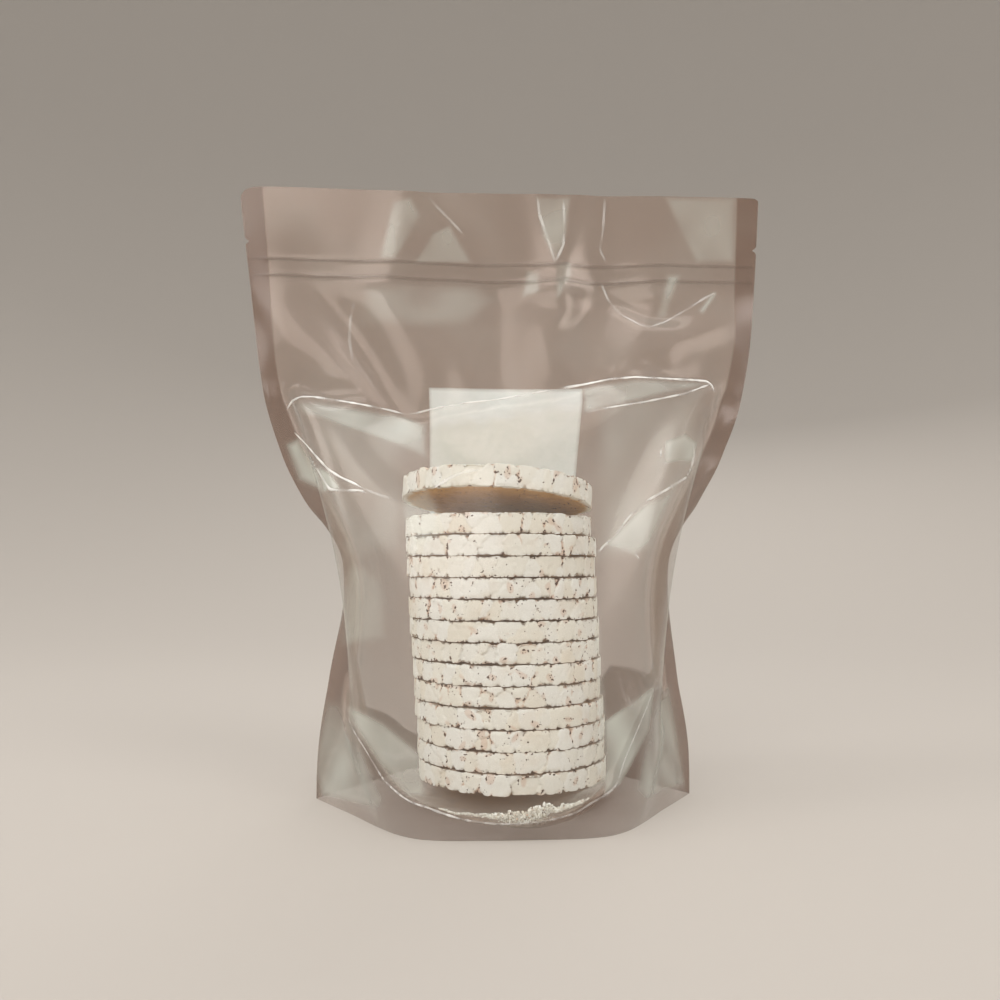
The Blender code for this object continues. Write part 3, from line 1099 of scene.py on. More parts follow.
@dataclass(frozen=True)
class FilmFinish:
    """Clear glossy film: a mirror as strong as the film's reflectance, over a faint warm veil.

    The reflectance is Schlick's: it rises with the 5th power of how edge-on the film is. It is that of both skins, so
    only the outer one is drawn and the inner one is left clear. Welded film is darker and duller, and the painted sheen
    is a pale veil painted over facets where the film would catch the light, a painted reflection. For shadows and for
    light that bounces, the film is thinner, because what the veil holds back it mostly scatters on.
    """

    name: str = "clear_film"
    straight_on: float = 0.06
    edge_on: float = 0.4
    veil: float = 0.22
    seal_veil: float = 0.36
    seal_dulls: float = 0.6
    indirect: float = 0.25
    veil_colour: Colour = srgb(120, 71, 26)
    seal_colour: Colour = srgb(84, 50, 30)
    # Pale colour of the painted sheen, a painted reflection on facets that face the lights.
    painted_sheen_colour: Colour = srgb(218, 227, 217)
    mirror_colour: Colour = srgb(236, 248, 243)
    roughness: float = 0.2

    def material(self, clouding: NodeTree) -> Material:
        """The film's material, whose alpha is mirror + veil + painted sheen and whose metallic share is the mirror's.

        Args:
            clouding: the group that clouds the film.

        Returns:
            The material.
        """
        made, write, shader = new_material(self.name)
        facing = write.add("ShaderNodeLayerWeight", {"Blend": 0.5}).outputs["Facing"]
        mirror = write.math("MULTIPLY_ADD", write.math("POWER", facing, 5.0), self.edge_on, self.straight_on)
        mirror = write.math("MULTIPLY", mirror, write.math("MULTIPLY_ADD", write.field("seal"), -self.seal_dulls, 1.0))
        clouds = write.add("ShaderNodeGroup", {"Amount": 0.03}, node_tree=clouding)
        # Painted sheen, a pale veil standing for reflections on the facets, plus the film's clouding.
        painted_sheen = write.math("ADD", write.field("painted_sheen"), clouds.outputs["Cloud"])
        veil = write.math("MULTIPLY_ADD", write.field("seal"), self.seal_veil, self.veil)
        veiled = write.math("ADD", veil, painted_sheen)
        alpha = write.math("ADD", mirror, veiled, clamp=True)
        share = write.math("DIVIDE", mirror, alpha, clamp=True)
        brown = write.blend(write.field("seal"), self.veil_colour, self.seal_colour)
        pale = write.blend(write.math("DIVIDE", painted_sheen, veiled, clamp=True), brown, self.painted_sheen_colour)
        colour = write.blend(share, pale, self.mirror_colour)
        path = write.add("ShaderNodeLightPath").outputs
        indirect = write.math("MAXIMUM", path["Is Shadow Ray"], path["Is Diffuse Ray"])
        strength = write.math("MULTIPLY_ADD", indirect, self.indirect - 1, 1.0)
        shown = write.math("MULTIPLY", write.math("MULTIPLY", alpha, strength), write.field("skin"))
        bump = write.add("ShaderNodeBump", {"Height": clouds.outputs["Relief"], "Strength": 0.03, "Distance": 0.001})
        write.feed(shader, {"Base Color": colour, "Alpha": shown, "Metallic": share, "Normal": bump.outputs[0]})
        shader.inputs["Roughness"].default_value = self.roughness
        return made


@dataclass(frozen=True)
class CreaseGlintFinish:
    """Film pinched into a fine fold, whitened by the pinch and painted whiter where it would catch the light, a painted
    highlight.
    """

    name: str = "crease_glint_film"
    # Near-white: painted highlight along the folds, as well as the pinched film's whitening.
    colour: Colour = srgb(240, 238, 233)

    def material(self) -> Material:
        """The folds' material, as opaque as the whitening_and_glint field says, which holds the whitening and the
        painted highlight.
        """
        made, write, shader = new_material(self.name)
        write.feed(shader, {"Base Color": self.colour, "Roughness": 0.35, "Alpha": write.field("whitening_and_glint")})
        return made


@dataclass(frozen=True)
class ZipFinish:
    """The zip's clear plastic, which shows as two darker ribs on a flange that hardly shows; the ribs' dark colour is
    painted shade.
    """

    name: str = "zip_plastic"
    # Darker than clear plastic: painted shade along the ribs.
    colour: Colour = srgb(128, 112, 102)
    flange: float = 0.03
    rib: float = 0.34

    def material(self, clouding: NodeTree) -> Material:
        """The zip's material, more opaque on its ribs and where it is seen edge-on.

        Args:
            clouding: the group that clouds the ribs.

        Returns:
            The material.
        """
        made, write, shader = new_material(self.name)
        facing = write.add("ShaderNodeLayerWeight", {"Blend": 0.5}).outputs["Facing"]
        clouds = write.add("ShaderNodeGroup", {"Amount": 0.05}, node_tree=clouding)
        body = write.math("MULTIPLY_ADD", write.field("rib"), self.rib, self.flange)
        body = write.math("MULTIPLY_ADD", write.math("POWER", facing, 3.0), 0.2, body)
        alpha = write.math("ADD", body, write.math("MULTIPLY", clouds.outputs["Cloud"], write.field("rib")), clamp=True)
        write.feed(shader, {"Base Color": self.colour, "Roughness": 0.16, "Alpha": alpha})
        return made


@dataclass(frozen=True)
class CrackerFinish:
    """Puffed rice: cream grains of uneven tint, with painted shade in the grooves and on the underside, and dark husk
    flecks along the grooves.
    """

    name: str = "puffed_rice"
    pale: Colour = srgb(241, 242, 234)
    cream: Colour = srgb(238, 236, 222)
    toasted: Colour = srgb(222, 200, 172)
    # Painted shade: the dark brown laid in grooves, pits, nicks and the gaps between crackers.
    shaded_groove: Colour = srgb(112, 84, 60)
    stain: Colour = srgb(206, 160, 128)
    # Toast of the faces, laid on more strongly on the underside as painted shade.
    face: Colour = srgb(200, 150, 58)
    husk: Colour = srgb(66, 40, 28)

    def material(self, speckle: NodeTree) -> Material:
        """The crackers' material: tint, toast, painted groove shade, stain, face toast with painted underside shade,
        and fleck, each blended over the one before.

        Args:
            speckle: the group of flecks and toast.

        Returns:
            The material.
        """
        made, write, shader = new_material(self.name)
        tint, shaded_groove = write.field("tint"), write.field("shaded_groove")
        marks = write.add("ShaderNodeGroup", {"Husk": write.field("husk")}, node_tree=speckle)
        colour = write.blend(write.remap(tint, 0.0, 1.0), self.pale, self.cream)
        colour = write.blend(write.math("MULTIPLY", write.remap(tint, 0.85, 1.0), 0.12), colour, self.toasted)
        colour = write.blend(write.math("MULTIPLY", marks.outputs["Toast"], 0.22), colour, self.toasted)
        # Painted shade in the grooves and between the crackers.
        colour = write.blend(write.math("MULTIPLY", write.remap(shaded_groove, 0.35, 1.0), 0.75), colour, self.shaded_groove)
        stain = write.math("MULTIPLY", write.remap(write.field("husk"), 0.3, 0.8), 0.55)
        colour = write.blend(stain, colour, self.stain)
        # Face toast, strongest on the underside, where it is painted shade.
        colour = write.blend(write.math("MULTIPLY", write.field("face"), 0.95), colour, self.face)
        colour = write.blend(marks.outputs["Fleck"], colour, self.husk)
        bump = write.add("ShaderNodeBump", {"Height": marks.outputs["Relief"], "Strength": 0.6, "Distance": 0.0006})
        write.feed(shader, {"Base Color": colour, "Roughness": 0.78, "Normal": bump.outputs[0]})
        return made


@dataclass(frozen=True)
class PaperFinish:
    """Plain matt paper, pale and a little green, with a faint fibre, thin enough to let some light through."""

    name: str = "label_paper"
    colour: Colour = srgb(236, 250, 247)
    fibre: Colour = srgb(229, 244, 241)

    def material(self) -> Material:
        """The label's material.

        Returns:
            The material.
        """
        made, write, shader = new_material(self.name)
        place = write.place()
        fibre = write.remap(write.noise(place, 260, 4.0, 0.65), 0.4, 0.65)
        colour = write.blend(fibre, self.colour, self.fibre)
        fine = write.noise(place, 900, 3.0, 0.6)
        bump = write.add("ShaderNodeBump", {"Height": fine, "Strength": 0.25, "Distance": 0.0002})
        write.feed(shader, {"Base Color": colour, "Roughness": 0.72, "Normal": bump.outputs[0]})
        write.feed(shader, {"Subsurface Weight": 0.7, "Subsurface Radius": (1.0, 1.0, 1.0), "Subsurface Scale": 0.0005})
        return made


@dataclass(frozen=True)
class FloorFinish:
    """The studio's plain pale floor."""

    name: str = "studio_floor"
    colour: Colour = srgb(184, 176, 167)

    def material(self) -> Material:
        """The floor's material."""
        made, write, shader = new_material(self.name)
        write.feed(shader, {"Base Color": self.colour, "Roughness": 0.9, "Specular IOR Level": 0.2})
        return made


# Sub-assemblies --------------------


@dataclass
class Pouch:
    """The film pouch: front, back and gusset films with their seals, and the zip."""

    pattern: Pattern
    films: dict[Panel, Sheet]
    bottom: Sheet
    folds: "Folds"
    label: "Label"
    thickness: float = 0.14
    columns: int = 237
    rows: int = 283
    left_corner: float = 6.0
    right_corner: float = 1.8
    zip_ridge: float = 0.35
    seal_step: float = 0.1
    notch_depth: float = 2.0

    def cut_pattern(self, u: Array, v: Array) -> tuple[Array, Array]:
        """Trims the pattern's outline: rounds the two top corners and cuts a notch at each side.

        Each side's last column moves in by the corner's circle and the notch's V, and the seal's other columns share
        the move evenly.

        Args:
            u: the grid's places across.
            v: its places along.

        Returns:
            The trimmed grid's u and v.
        """
        wide, up = np.meshgrid(u, v)
        for side, radius in ((Side.LEFT, self.left_corner), (Side.RIGHT, self.right_corner)):
            over = np.clip(up - (self.pattern.length - radius), 0, radius)
            corner = radius - np.sqrt(np.maximum(radius**2 - over**2, 0))
            notch = self.notch_depth * np.clip(1 - np.abs(up - self.pattern.notch) / 1.5, 0, 1)
            share = np.clip((wide * side.value - self.pattern.inner) / self.pattern.seal, 0, 1)
            wide = wide - side.value * (corner + notch) * share
        return wide, up

    def relief(self, wide: Array, up: Array) -> Array:
        """How far the film stands out: a Gaussian over each of the zip's ridges and along the bottom seal's edge."""
        lines = sum(bell((up - line) / 0.9) for line in self.pattern.zip_lines)
        ridges = self.zip_ridge * lines * smoothstep((self.pattern.inner + 4 - np.abs(wide)) / 5)
        return ridges + self.seal_step * bell((self.pattern.seal_top(wide) - up) / 1.3)

    def seal_field(self, wide: Array, up: Array) -> Array:
        """How much a seal shows, 0 to 1: an S-curve over each seal's edge, highest in the middle of the bottom seal."""
        side = smoothstep(np.abs(wide) - self.pattern.inner + 0.5) * 0.6
        bottom = smoothstep(self.pattern.seal_top(wide) - up + 0.5) * (1 - 0.55 * self.pattern.across(wide) ** 2)
        return np.maximum(side, bottom)

    def big_film(self, panel: Panel, finish: Material) -> Object:
        """The front or the back film as a thin closed solid.

        Args:
            panel: which film.
            finish: its material.

        Returns:
            The film.
        """
        u = np.linspace(-self.pattern.width / 2, self.pattern.width / 2, self.columns)
        v = np.linspace(0, self.pattern.length, self.rows)
        nearest = np.abs(v - self.pattern.notch).argmin()
        v[nearest] = self.pattern.notch
        wide, up = self.cut_pattern(u, v)
        sheet = self.films[panel]
        surface = sheet.at(wide, up)
        normals = sheet.normals_at(wide, up)
        height = self.relief(wide, up)
        points, faces = sheet_solid(surface, normals, self.thickness, panel is Panel.BACK, height)
        painted_sheen, shown = np.zeros_like(wide), np.ones_like(wide)
        if panel is Panel.FRONT:
            # Only the front film gets painted sheen, a pale painted reflection on its facets.
            painted_sheen = self.folds.painted_sheen(surface)
        else:
            shown = 1 - self.label.covers(wide, up)
        fields, flat = self.skin_fields(wide, up, {"seal": self.seal_field(wide, up), "painted_sheen": painted_sheen}, shown)
        return make_piece(f"{panel.name.lower()}_film", points, faces, finish, fields, flat, 60)

    @staticmethod
    def skin_fields(wide: Array, up: Array, fields: Fields, shown: Array) -> tuple[Fields, Array]:
        """Carries a grid's fields and its flat places over to both skins of its thin solid.

        Args:
            wide: the grid's places across.
            up: its places along.
            fields: numbers on the grid by name.
            shown: 1 where the outer skin is drawn and 0 where it isn't.

        Returns:
            The fields of both skins, with skin as 0 on the inner one, and the flat places in metres.
        """
        both = {key: np.concatenate([values.ravel(), values[::2, ::2].ravel()]) for key, values in fields.items()}
        both["skin"] = np.concatenate([shown.ravel(), np.zeros(shown[::2, ::2].size)])
        place = np.stack([wide, up], -1)
        return both, np.concatenate([place.reshape(-1, 2), place[::2, ::2].reshape(-1, 2)]) * MM

    def gusset_film(self, finish: Material) -> Object:
        """The gusset as a thin closed solid, whose upper side faces into the pouch. It isn't drawn where it is welded.

        Args:
            finish: its material.

        Returns:
            The gusset film.
        """
        inner = self.pattern.inner - 0.5
        u = np.linspace(-inner, inner, 191)
        t = np.linspace(self.bottom.v[0] + 0.6, self.bottom.v[-1] - 0.6, 141)
        wide, along = np.meshgrid(u, t)
        points, faces = sheet_solid(self.bottom.at(wide, along), self.bottom.normals_at(wide, along), 0.1, False)
        free = smoothstep((self.pattern.gusset - np.abs(along) - self.pattern.seal_top(wide)) / 1.2 + 0.6)
        plain = np.zeros_like(wide)
        fields, flat = self.skin_fields(wide, along, {"seal": plain, "painted_sheen": plain}, free)
        return make_piece("gusset_film", points, faces, finish, fields, flat, 60)

    def zip_closure(self, finish: Material) -> Object:
        """The closed zip: a band with two ribs, carried across between the films and flattened in the side seals.

        Its profile gives, from the bottom up, places along, half the thickness there, and 1 on a rib.

        Args:
            finish: its material.

        Returns:
            The zip.
        """
        low, high = self.pattern.zip_lines
        profile = (
            (low - 3.4, 0.05, 0), (low - 3.0, 0.12, 0), (low - 0.9, 0.12, 0), (low - 0.5, 0.4, 1), (low + 0.5, 0.4, 1),
            (low + 0.9, 0.12, 0), (high - 0.9, 0.12, 0), (high - 0.5, 0.4, 1), (high + 0.5, 0.4, 1),
            (high + 0.9, 0.1, 0), (high + 1.0, 0.05, 0),
        )
        up, half, rib = np.array(profile).T
        ring_v = np.concatenate([up, up[::-1]])
        ring_out = np.concatenate([half, -half[::-1]])
        u = np.linspace(-self.pattern.width / 2 + 1.2, self.pattern.width / 2 - 1.2, 220)
        wide, level = np.meshgrid(u, ring_v, indexing="ij")
        middle = (self.films[Panel.FRONT].at(wide, level) + self.films[Panel.BACK].at(wide, level)) / 2
        out = self.films[Panel.FRONT].normals_at(wide, np.full_like(wide, (low + high) / 2))
        flatten = smoothstep((self.pattern.inner + 2 - np.abs(wide)) / 5) * 0.9 + 0.1
        points = (middle + out * (ring_out * flatten)[..., None]).reshape(-1, 3)
        faces = tube_faces(len(u), len(ring_v))
        ribs = np.tile(np.concatenate([rib, rib[::-1]]), len(u))
        return make_piece("zip_closure", points, faces, finish, {"rib": ribs}, sharp_deg=40)

    def build(self, film: Material, back_film: Material, plastic: Material) -> None:
        """Builds every piece of the pouch and sets it in place of the plain solid.

        Args:
            film: the front and gusset films' material.
            back_film: the back film's.
            plastic: the zip's.
        """
        made = [self.big_film(Panel.FRONT, film), self.big_film(Panel.BACK, back_film)]
        made += [self.gusset_film(film), self.zip_closure(plastic)]
        for piece in made:
            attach(piece, "root")
            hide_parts("pouch")


@dataclass(frozen=True)
class Crease:
    """A fine fold in the front film: its line on the front view, its width, and its whiteness, part whitening and part
    painted highlight.
    """

    line: Line
    width: float
    whitening_and_glint: float


@dataclass(frozen=True)
class Facet:
    """A flat facet of the front film that would catch the light: its seen corners, its painted sheen (a pale painted
    reflection) and its soft edge.
    """

    corners: Line
    painted_sheen: float
    soft: float


@dataclass
class Folds:
    """The front film's fine folds, which are thin beads of film, and its facets with painted sheen, a pale painted
    reflection.
    """

    view: FrontView
    # Each crease's whiteness is partly the pinched film's whitening and partly a painted highlight.
    creases: tuple[Crease, ...] = tuple(Crease(*row) for row in (
        # The ridge where the pouch's full part meets the flat header, and its second line.
        (((-102.5, 186), (-100, 190), (-96, 192), (-90, 192), (-79.5, 190.5), (-65, 188), (-53, 185.5),
         (-45.5, 183.5)), 1.1, 0.75),
        (((-45.5, 183.5), (-41, 184), (-31, 186.5), (-17, 189), (-2.5, 190.5), (12, 193), (26.5, 195.5)), 0.8, 0.6),
        (((26.5, 195.5), (41, 198), (53, 200.5), (65, 201.5), (84, 200.5), (93.5, 200), (99.5, 199.5),
         (102, 197.5), (103, 194)), 1.1, 0.7),
        (((42, 184.5), (50.5, 186.5), (69.5, 189.5), (89, 193.5), (101, 198)), 0.9, 0.45),
        # The folds under its two corners.
        (((-99, 175), (-93.5, 169.5), (-88, 163), (-82.5, 157), (-77, 153.5), (-69.5, 150), (-66, 148)), 0.9, 0.75),
        (((-66, 148), (-57.5, 144.5), (-51.5, 143)), 1.2, 0.3),
        (((-91, 163), (-86, 154), (-82, 147.5), (-77, 147), (-67, 147), (-64, 145.5)), 1.0, 0.8),
        (((90, 153.5), (79.5, 147), (69.5, 141.5)), 1.0, 0.45),
        (((69.5, 141.5), (62.5, 135), (55.5, 125.5), (49, 119.5), (46.5, 115.5)), 0.8, 0.3),
        (((77.5, 168), (77, 160.5), (79.5, 159.5), (81.5, 162)), 1.1, 0.75),
        (((92.5, 171), (93.5, 164), (91.5, 157), (89, 153)), 1.5, 0.25),
        (((64.5, 117), (66.5, 114.5), (68, 113)), 1.3, 0.8),
        # The header's soft pockets and pleats.
        (((-70, 238), (-72, 229), (-72.5, 219), (-71, 209.5)), 1.4, 0.14),
        (((-35, 289), (-31, 284), (-24, 277), (-17, 269.5)), 1.2, 0.15),
        (((18, 288), (19, 279.5), (22.5, 269.5), (26.5, 256.5)), 1.2, 0.26),
        (((30.5, 287), (31, 274.5), (30.5, 265), (26.5, 256.5)), 1.2, 0.24),
        (((50.5, 288), (49.5, 272), (48, 262.5), (51.5, 256)), 1.2, 0.16),
        (((48, 248), (52, 238.5), (57.5, 232), (67.5, 226.5), (72, 225.5)), 1.1, 0.2),
        (((72, 225.5), (79.5, 228), (89, 233.5), (98.5, 239.5), (104.5, 242.5)), 1.1, 0.25),
        # The foot's right fold, and streaks over the top cracker.
        (((72, 64), (74.5, 58), (75, 50)), 1.0, 0.25),
        (((-33, 147.5), (-24, 153), (-17, 156), (-9.5, 157)), 1.6, 0.3),
    ))
    # Facets with painted sheen: pale veils painted where the film would reflect the light.
    facets: tuple[Facet, ...] = tuple(Facet(*row) for row in (
        (((-97, 190.5), (-45.5, 182.5), (-36, 178.5), (-36, 163.5), (-98.5, 185.5)), 0.32, 4),
        (((39.5, 196), (65, 200.5), (101, 198.5), (41, 184.5)), 0.3, 3),
        (((-89, 164), (-82.5, 156), (-67, 148.5), (-85, 146.5)), 0.6, 2.5),
        (((-103, 169), (-97, 172), (-86.5, 155), (-85, 146.5), (-97, 152)), 0.42, 5),
        (((-72, 113.5), (-57, 104), (-54.5, 75), (-77, 72.5), (-74.5, 99)), 0.14, 6),
        (((78.5, 171), (89, 175), (96, 170), (93.5, 160.5), (78.5, 159)), 0.34, 4),
        (((49, 120.5), (69.5, 141), (84, 147), (72, 120.5), (65, 115.5)), 0.3, 4),
        (((-51.5, 286), (-43, 288), (-38.5, 279.5), (-44.5, 267.5), (-50.5, 258.5), (-58, 258.5)), 0.26, 3),
        (((-24, 274.5), (-13.5, 256.5), (-41, 256.5), (-32.5, 271)), 0.2, 2.5),
        (((17, 288), (34, 288), (31, 265), (26.5, 256.5), (20.5, 269.5)), 0.22, 2.5),
        (((26.5, 256.5), (34, 256.5), (34.5, 250.5), (27.5, 238.5)), 0.3, 2.5),
        (((13, 253), (19, 252), (19, 242.5), (10.5, 239.5)), 0.25, 3),
        (((80.5, 250.5), (86.5, 250.5), (80, 230), (75.5, 230)), 0.24, 4),
        (((102.5, 242.5), (104.5, 241.5), (97.5, 231.5), (95.5, 233.5)), 0.4, 2),
        (((78.5, 288), (113, 288), (113, 256.5), (93.5, 256.5), (86.5, 272)), 0.2, 4),
        (((-65, 245.5), (-12, 245.5), (-2.5, 238.5), (-17, 226.5), (-67.5, 226.5)), 0.12, 8),
        (((-79, 47.5), (-66, 44), (-56, 35.5), (-39, 27), (-36, 0), (-44, 0), (-58, 15), (-69, 32)), 0.32, 4),
        (((50, 36), (74.5, 53.5), (72.5, 32), (58, 5.5), (50, 0.5)), 0.42, 3),
        (((75.5, 52.5), (82, 53.5), (89, 5.5), (70, -2), (60, 7), (72, 36.5)), 0.32, 5),
        (((-84, 46), (-77, 45), (-56, -1), (-58, -7), (-86, 0), (-90, 14)), 0.32, 5),
        (((-95, 188), (-45, 182), (-46, 118), (-75, 113), (-84, 146)), 0.1, 12),
        (((47, 192), (98, 196), (97, 160), (73, 117), (47, 113)), 0.12, 12),
        (((44.5, 132.5), (48.5, 75), (52, 46.5), (52, 12.5), (46.5, 10), (45.5, 75)), 0.26, 4),
        (((-48, 142.5), (-35, 148), (-31, 142.5), (-26.5, 128), (-45.5, 113.5)), 0.16, 6),
    ))


    def painted_sheen(self, points: Array) -> Array:
        """The painted sheen at points of the front film: for each facet, how far inside all its edges a point is seen.

        Args:
            points: the film's places.

        Returns:
            One number per place.
        """
        seen = self.view.seen(points)
        total = np.zeros(points.shape[:-1])
        for facet in self.facets:
            corners = np.array(facet.corners)
            after = np.roll(corners, -1, axis=0)
            way = (after - corners) / np.linalg.norm(after - corners, axis=1, keepdims=True)
            turn = np.sign((corners[:, 0] * after[:, 1] - corners[:, 1] * after[:, 0]).sum())
            far = [(w[0] * (seen[..., 1] - c[1]) - w[1] * (seen[..., 0] - c[0])) * turn for c, w in zip(corners, way)]
            total = np.maximum(total, facet.painted_sheen * smoothstep(np.min(far, axis=0) / facet.soft + 0.3))
        return total * (0.85 + 0.5 * ripple(points, 24, 5))

    def bead(
        self, line: Array, film: Sheet, width: float, whitening_and_glint: Array | float, mottle: float = 9.0
    ) -> tuple[Array, Array]:
        """A thin bead of film along a line on the flat pattern, thinned out at both ends.

        Its section is a flat ellipse of ten points, carried square to the line and half sunk in the film.

        Args:
            line: the line's u and v, one row per point.
            film: the film it lies on.
            width: its full width.
            whitening_and_glint: its whiteness, part whitening and part painted highlight, or that of each point.
            mottle: the length over which it is whiter and clearer.

        Returns:
            The rings of points and the whiteness of each point.
        """
        middle = film.at(line[:, 0], line[:, 1])
        normal = film.normals_at(line[:, 0], line[:, 1], 1.5)
        way = np.gradient(middle, axis=0)
        side = unit(np.cross(normal, way))
        run = run_length(middle)
        thin = smoothstep(np.minimum(run, run[-1] - run) / 5 + 0.15) * 0.8 + 0.2
        half = width / 2 * thin * (1 + 0.35 * ripple(middle, 5, 3))
        turn = np.linspace(0, math.tau, 10, endpoint=False)
        points = middle[:, None] + normal[:, None] * (0.13 + half[:, None, None] * 0.3 * np.sin(turn)[None, :, None])
        points = points + side[:, None] * (half[:, None] * np.cos(turn))[..., None]
        shine = whitening_and_glint * thin * np.clip(0.8 + 1.1 * ripple(middle, mottle, 9), 0.15, 1.25)
        return points, np.repeat(np.clip(shine, 0, 0.95), len(turn))

    def build(self, film: Sheet, pattern: Pattern, finish: Material) -> None:
        """Builds all the fine folds and the bead along the bottom seal's edge as one piece.

        Args:
            film: the front film.
            pattern: the pouch's pattern.
            finish: the folds' material.
        """
        beads = []
        for crease in self.creases:
            line = np.array(crease.line)
            along = run_length(line)
            even = np.linspace(0, along[-1], max(8, int(along[-1] / 0.7)))
            seen = np.stack([np.interp(even, along, line[:, k]) for k in (0, 1)], -1)
            for _ in range(2):
                seen[1:-1] += 0.25 * (seen[2:] + seen[:-2] - 2 * seen[1:-1])
            beads.append(self.bead(np.stack(self.view.on_film(film, seen), -1), film, crease.width, crease.whitening_and_glint))
        share = np.linspace(-0.93, 0.93, 260)
        seal = np.stack([share * pattern.width / 2, smooth_through(pattern.bottom_seal, share)], -1)
        # The seal's edge bead carries a painted glint, whitest left of the middle.
        whitening_and_glint = 0.24 + 0.45 * bell((seal[:, 0] + 38) / 22)
        beads.append(self.bead(seal, film, 0.8, whitening_and_glint, 2.6))
        faces: list[Array] = []
        start = 0
        for rings, whitening_and_glint in beads:
            faces += tube_faces(*rings.shape[:2], start)
            start += len(whitening_and_glint)
        points = np.concatenate([rings.reshape(-1, 3) for rings, _ in beads])
        whitening_and_glint = np.concatenate([whitening_and_glint for _, whitening_and_glint in beads])
        made = make_piece("film_creases", points, faces, finish, {"whitening_and_glint": whitening_and_glint})
        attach(made, "root")
        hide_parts("pouch")


@dataclass
class Label:
    """The bare paper label that follows the back film, just outside it."""

    film: Sheet
    width: float = 78.0
    top: float = 198.0
    bottom: float = 84.0
    gap: float = 0.2
    thickness: float = 0.12
    shift: float = 1.0

    def span(self) -> tuple[float, float]:
        """The label's lower and upper edge on the flat pattern, by the heights of the film's middle line."""
        middle = self.film.points[:-8, len(self.film.u) // 2, 2]
        return tuple(np.interp([self.bottom, self.top], middle, self.film.v[:-8]).tolist())

    def covers(self, wide: Array, up: Array) -> Array:
        """1 where the label is stuck to the film and 0 elsewhere, with an S-curve between."""
        low, high = self.span()
        inside = np.minimum(self.width / 2 - np.abs(wide - self.shift), np.minimum(up - low, high - up))
        return smoothstep(inside / 1.2)

    def build(self, finish: Material) -> None:
        """Builds the label in place of its plain solid.

        Args:
            finish: its material.
        """
        across = np.linspace(-self.width / 2, self.width / 2, 61) + self.shift
        wide, up = np.meshgrid(across, np.linspace(*self.span(), 85))
        normals = self.film.normals_at(wide, up, 2.0)
        surface = self.film.at(wide, up) - normals * (self.gap + self.thickness / 2)
        points, faces = sheet_solid(surface, normals, self.thickness, True)
        made = make_piece("paper_label", points, faces, finish, sharp_deg=40)
        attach(made, "root")
        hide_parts("back_label")


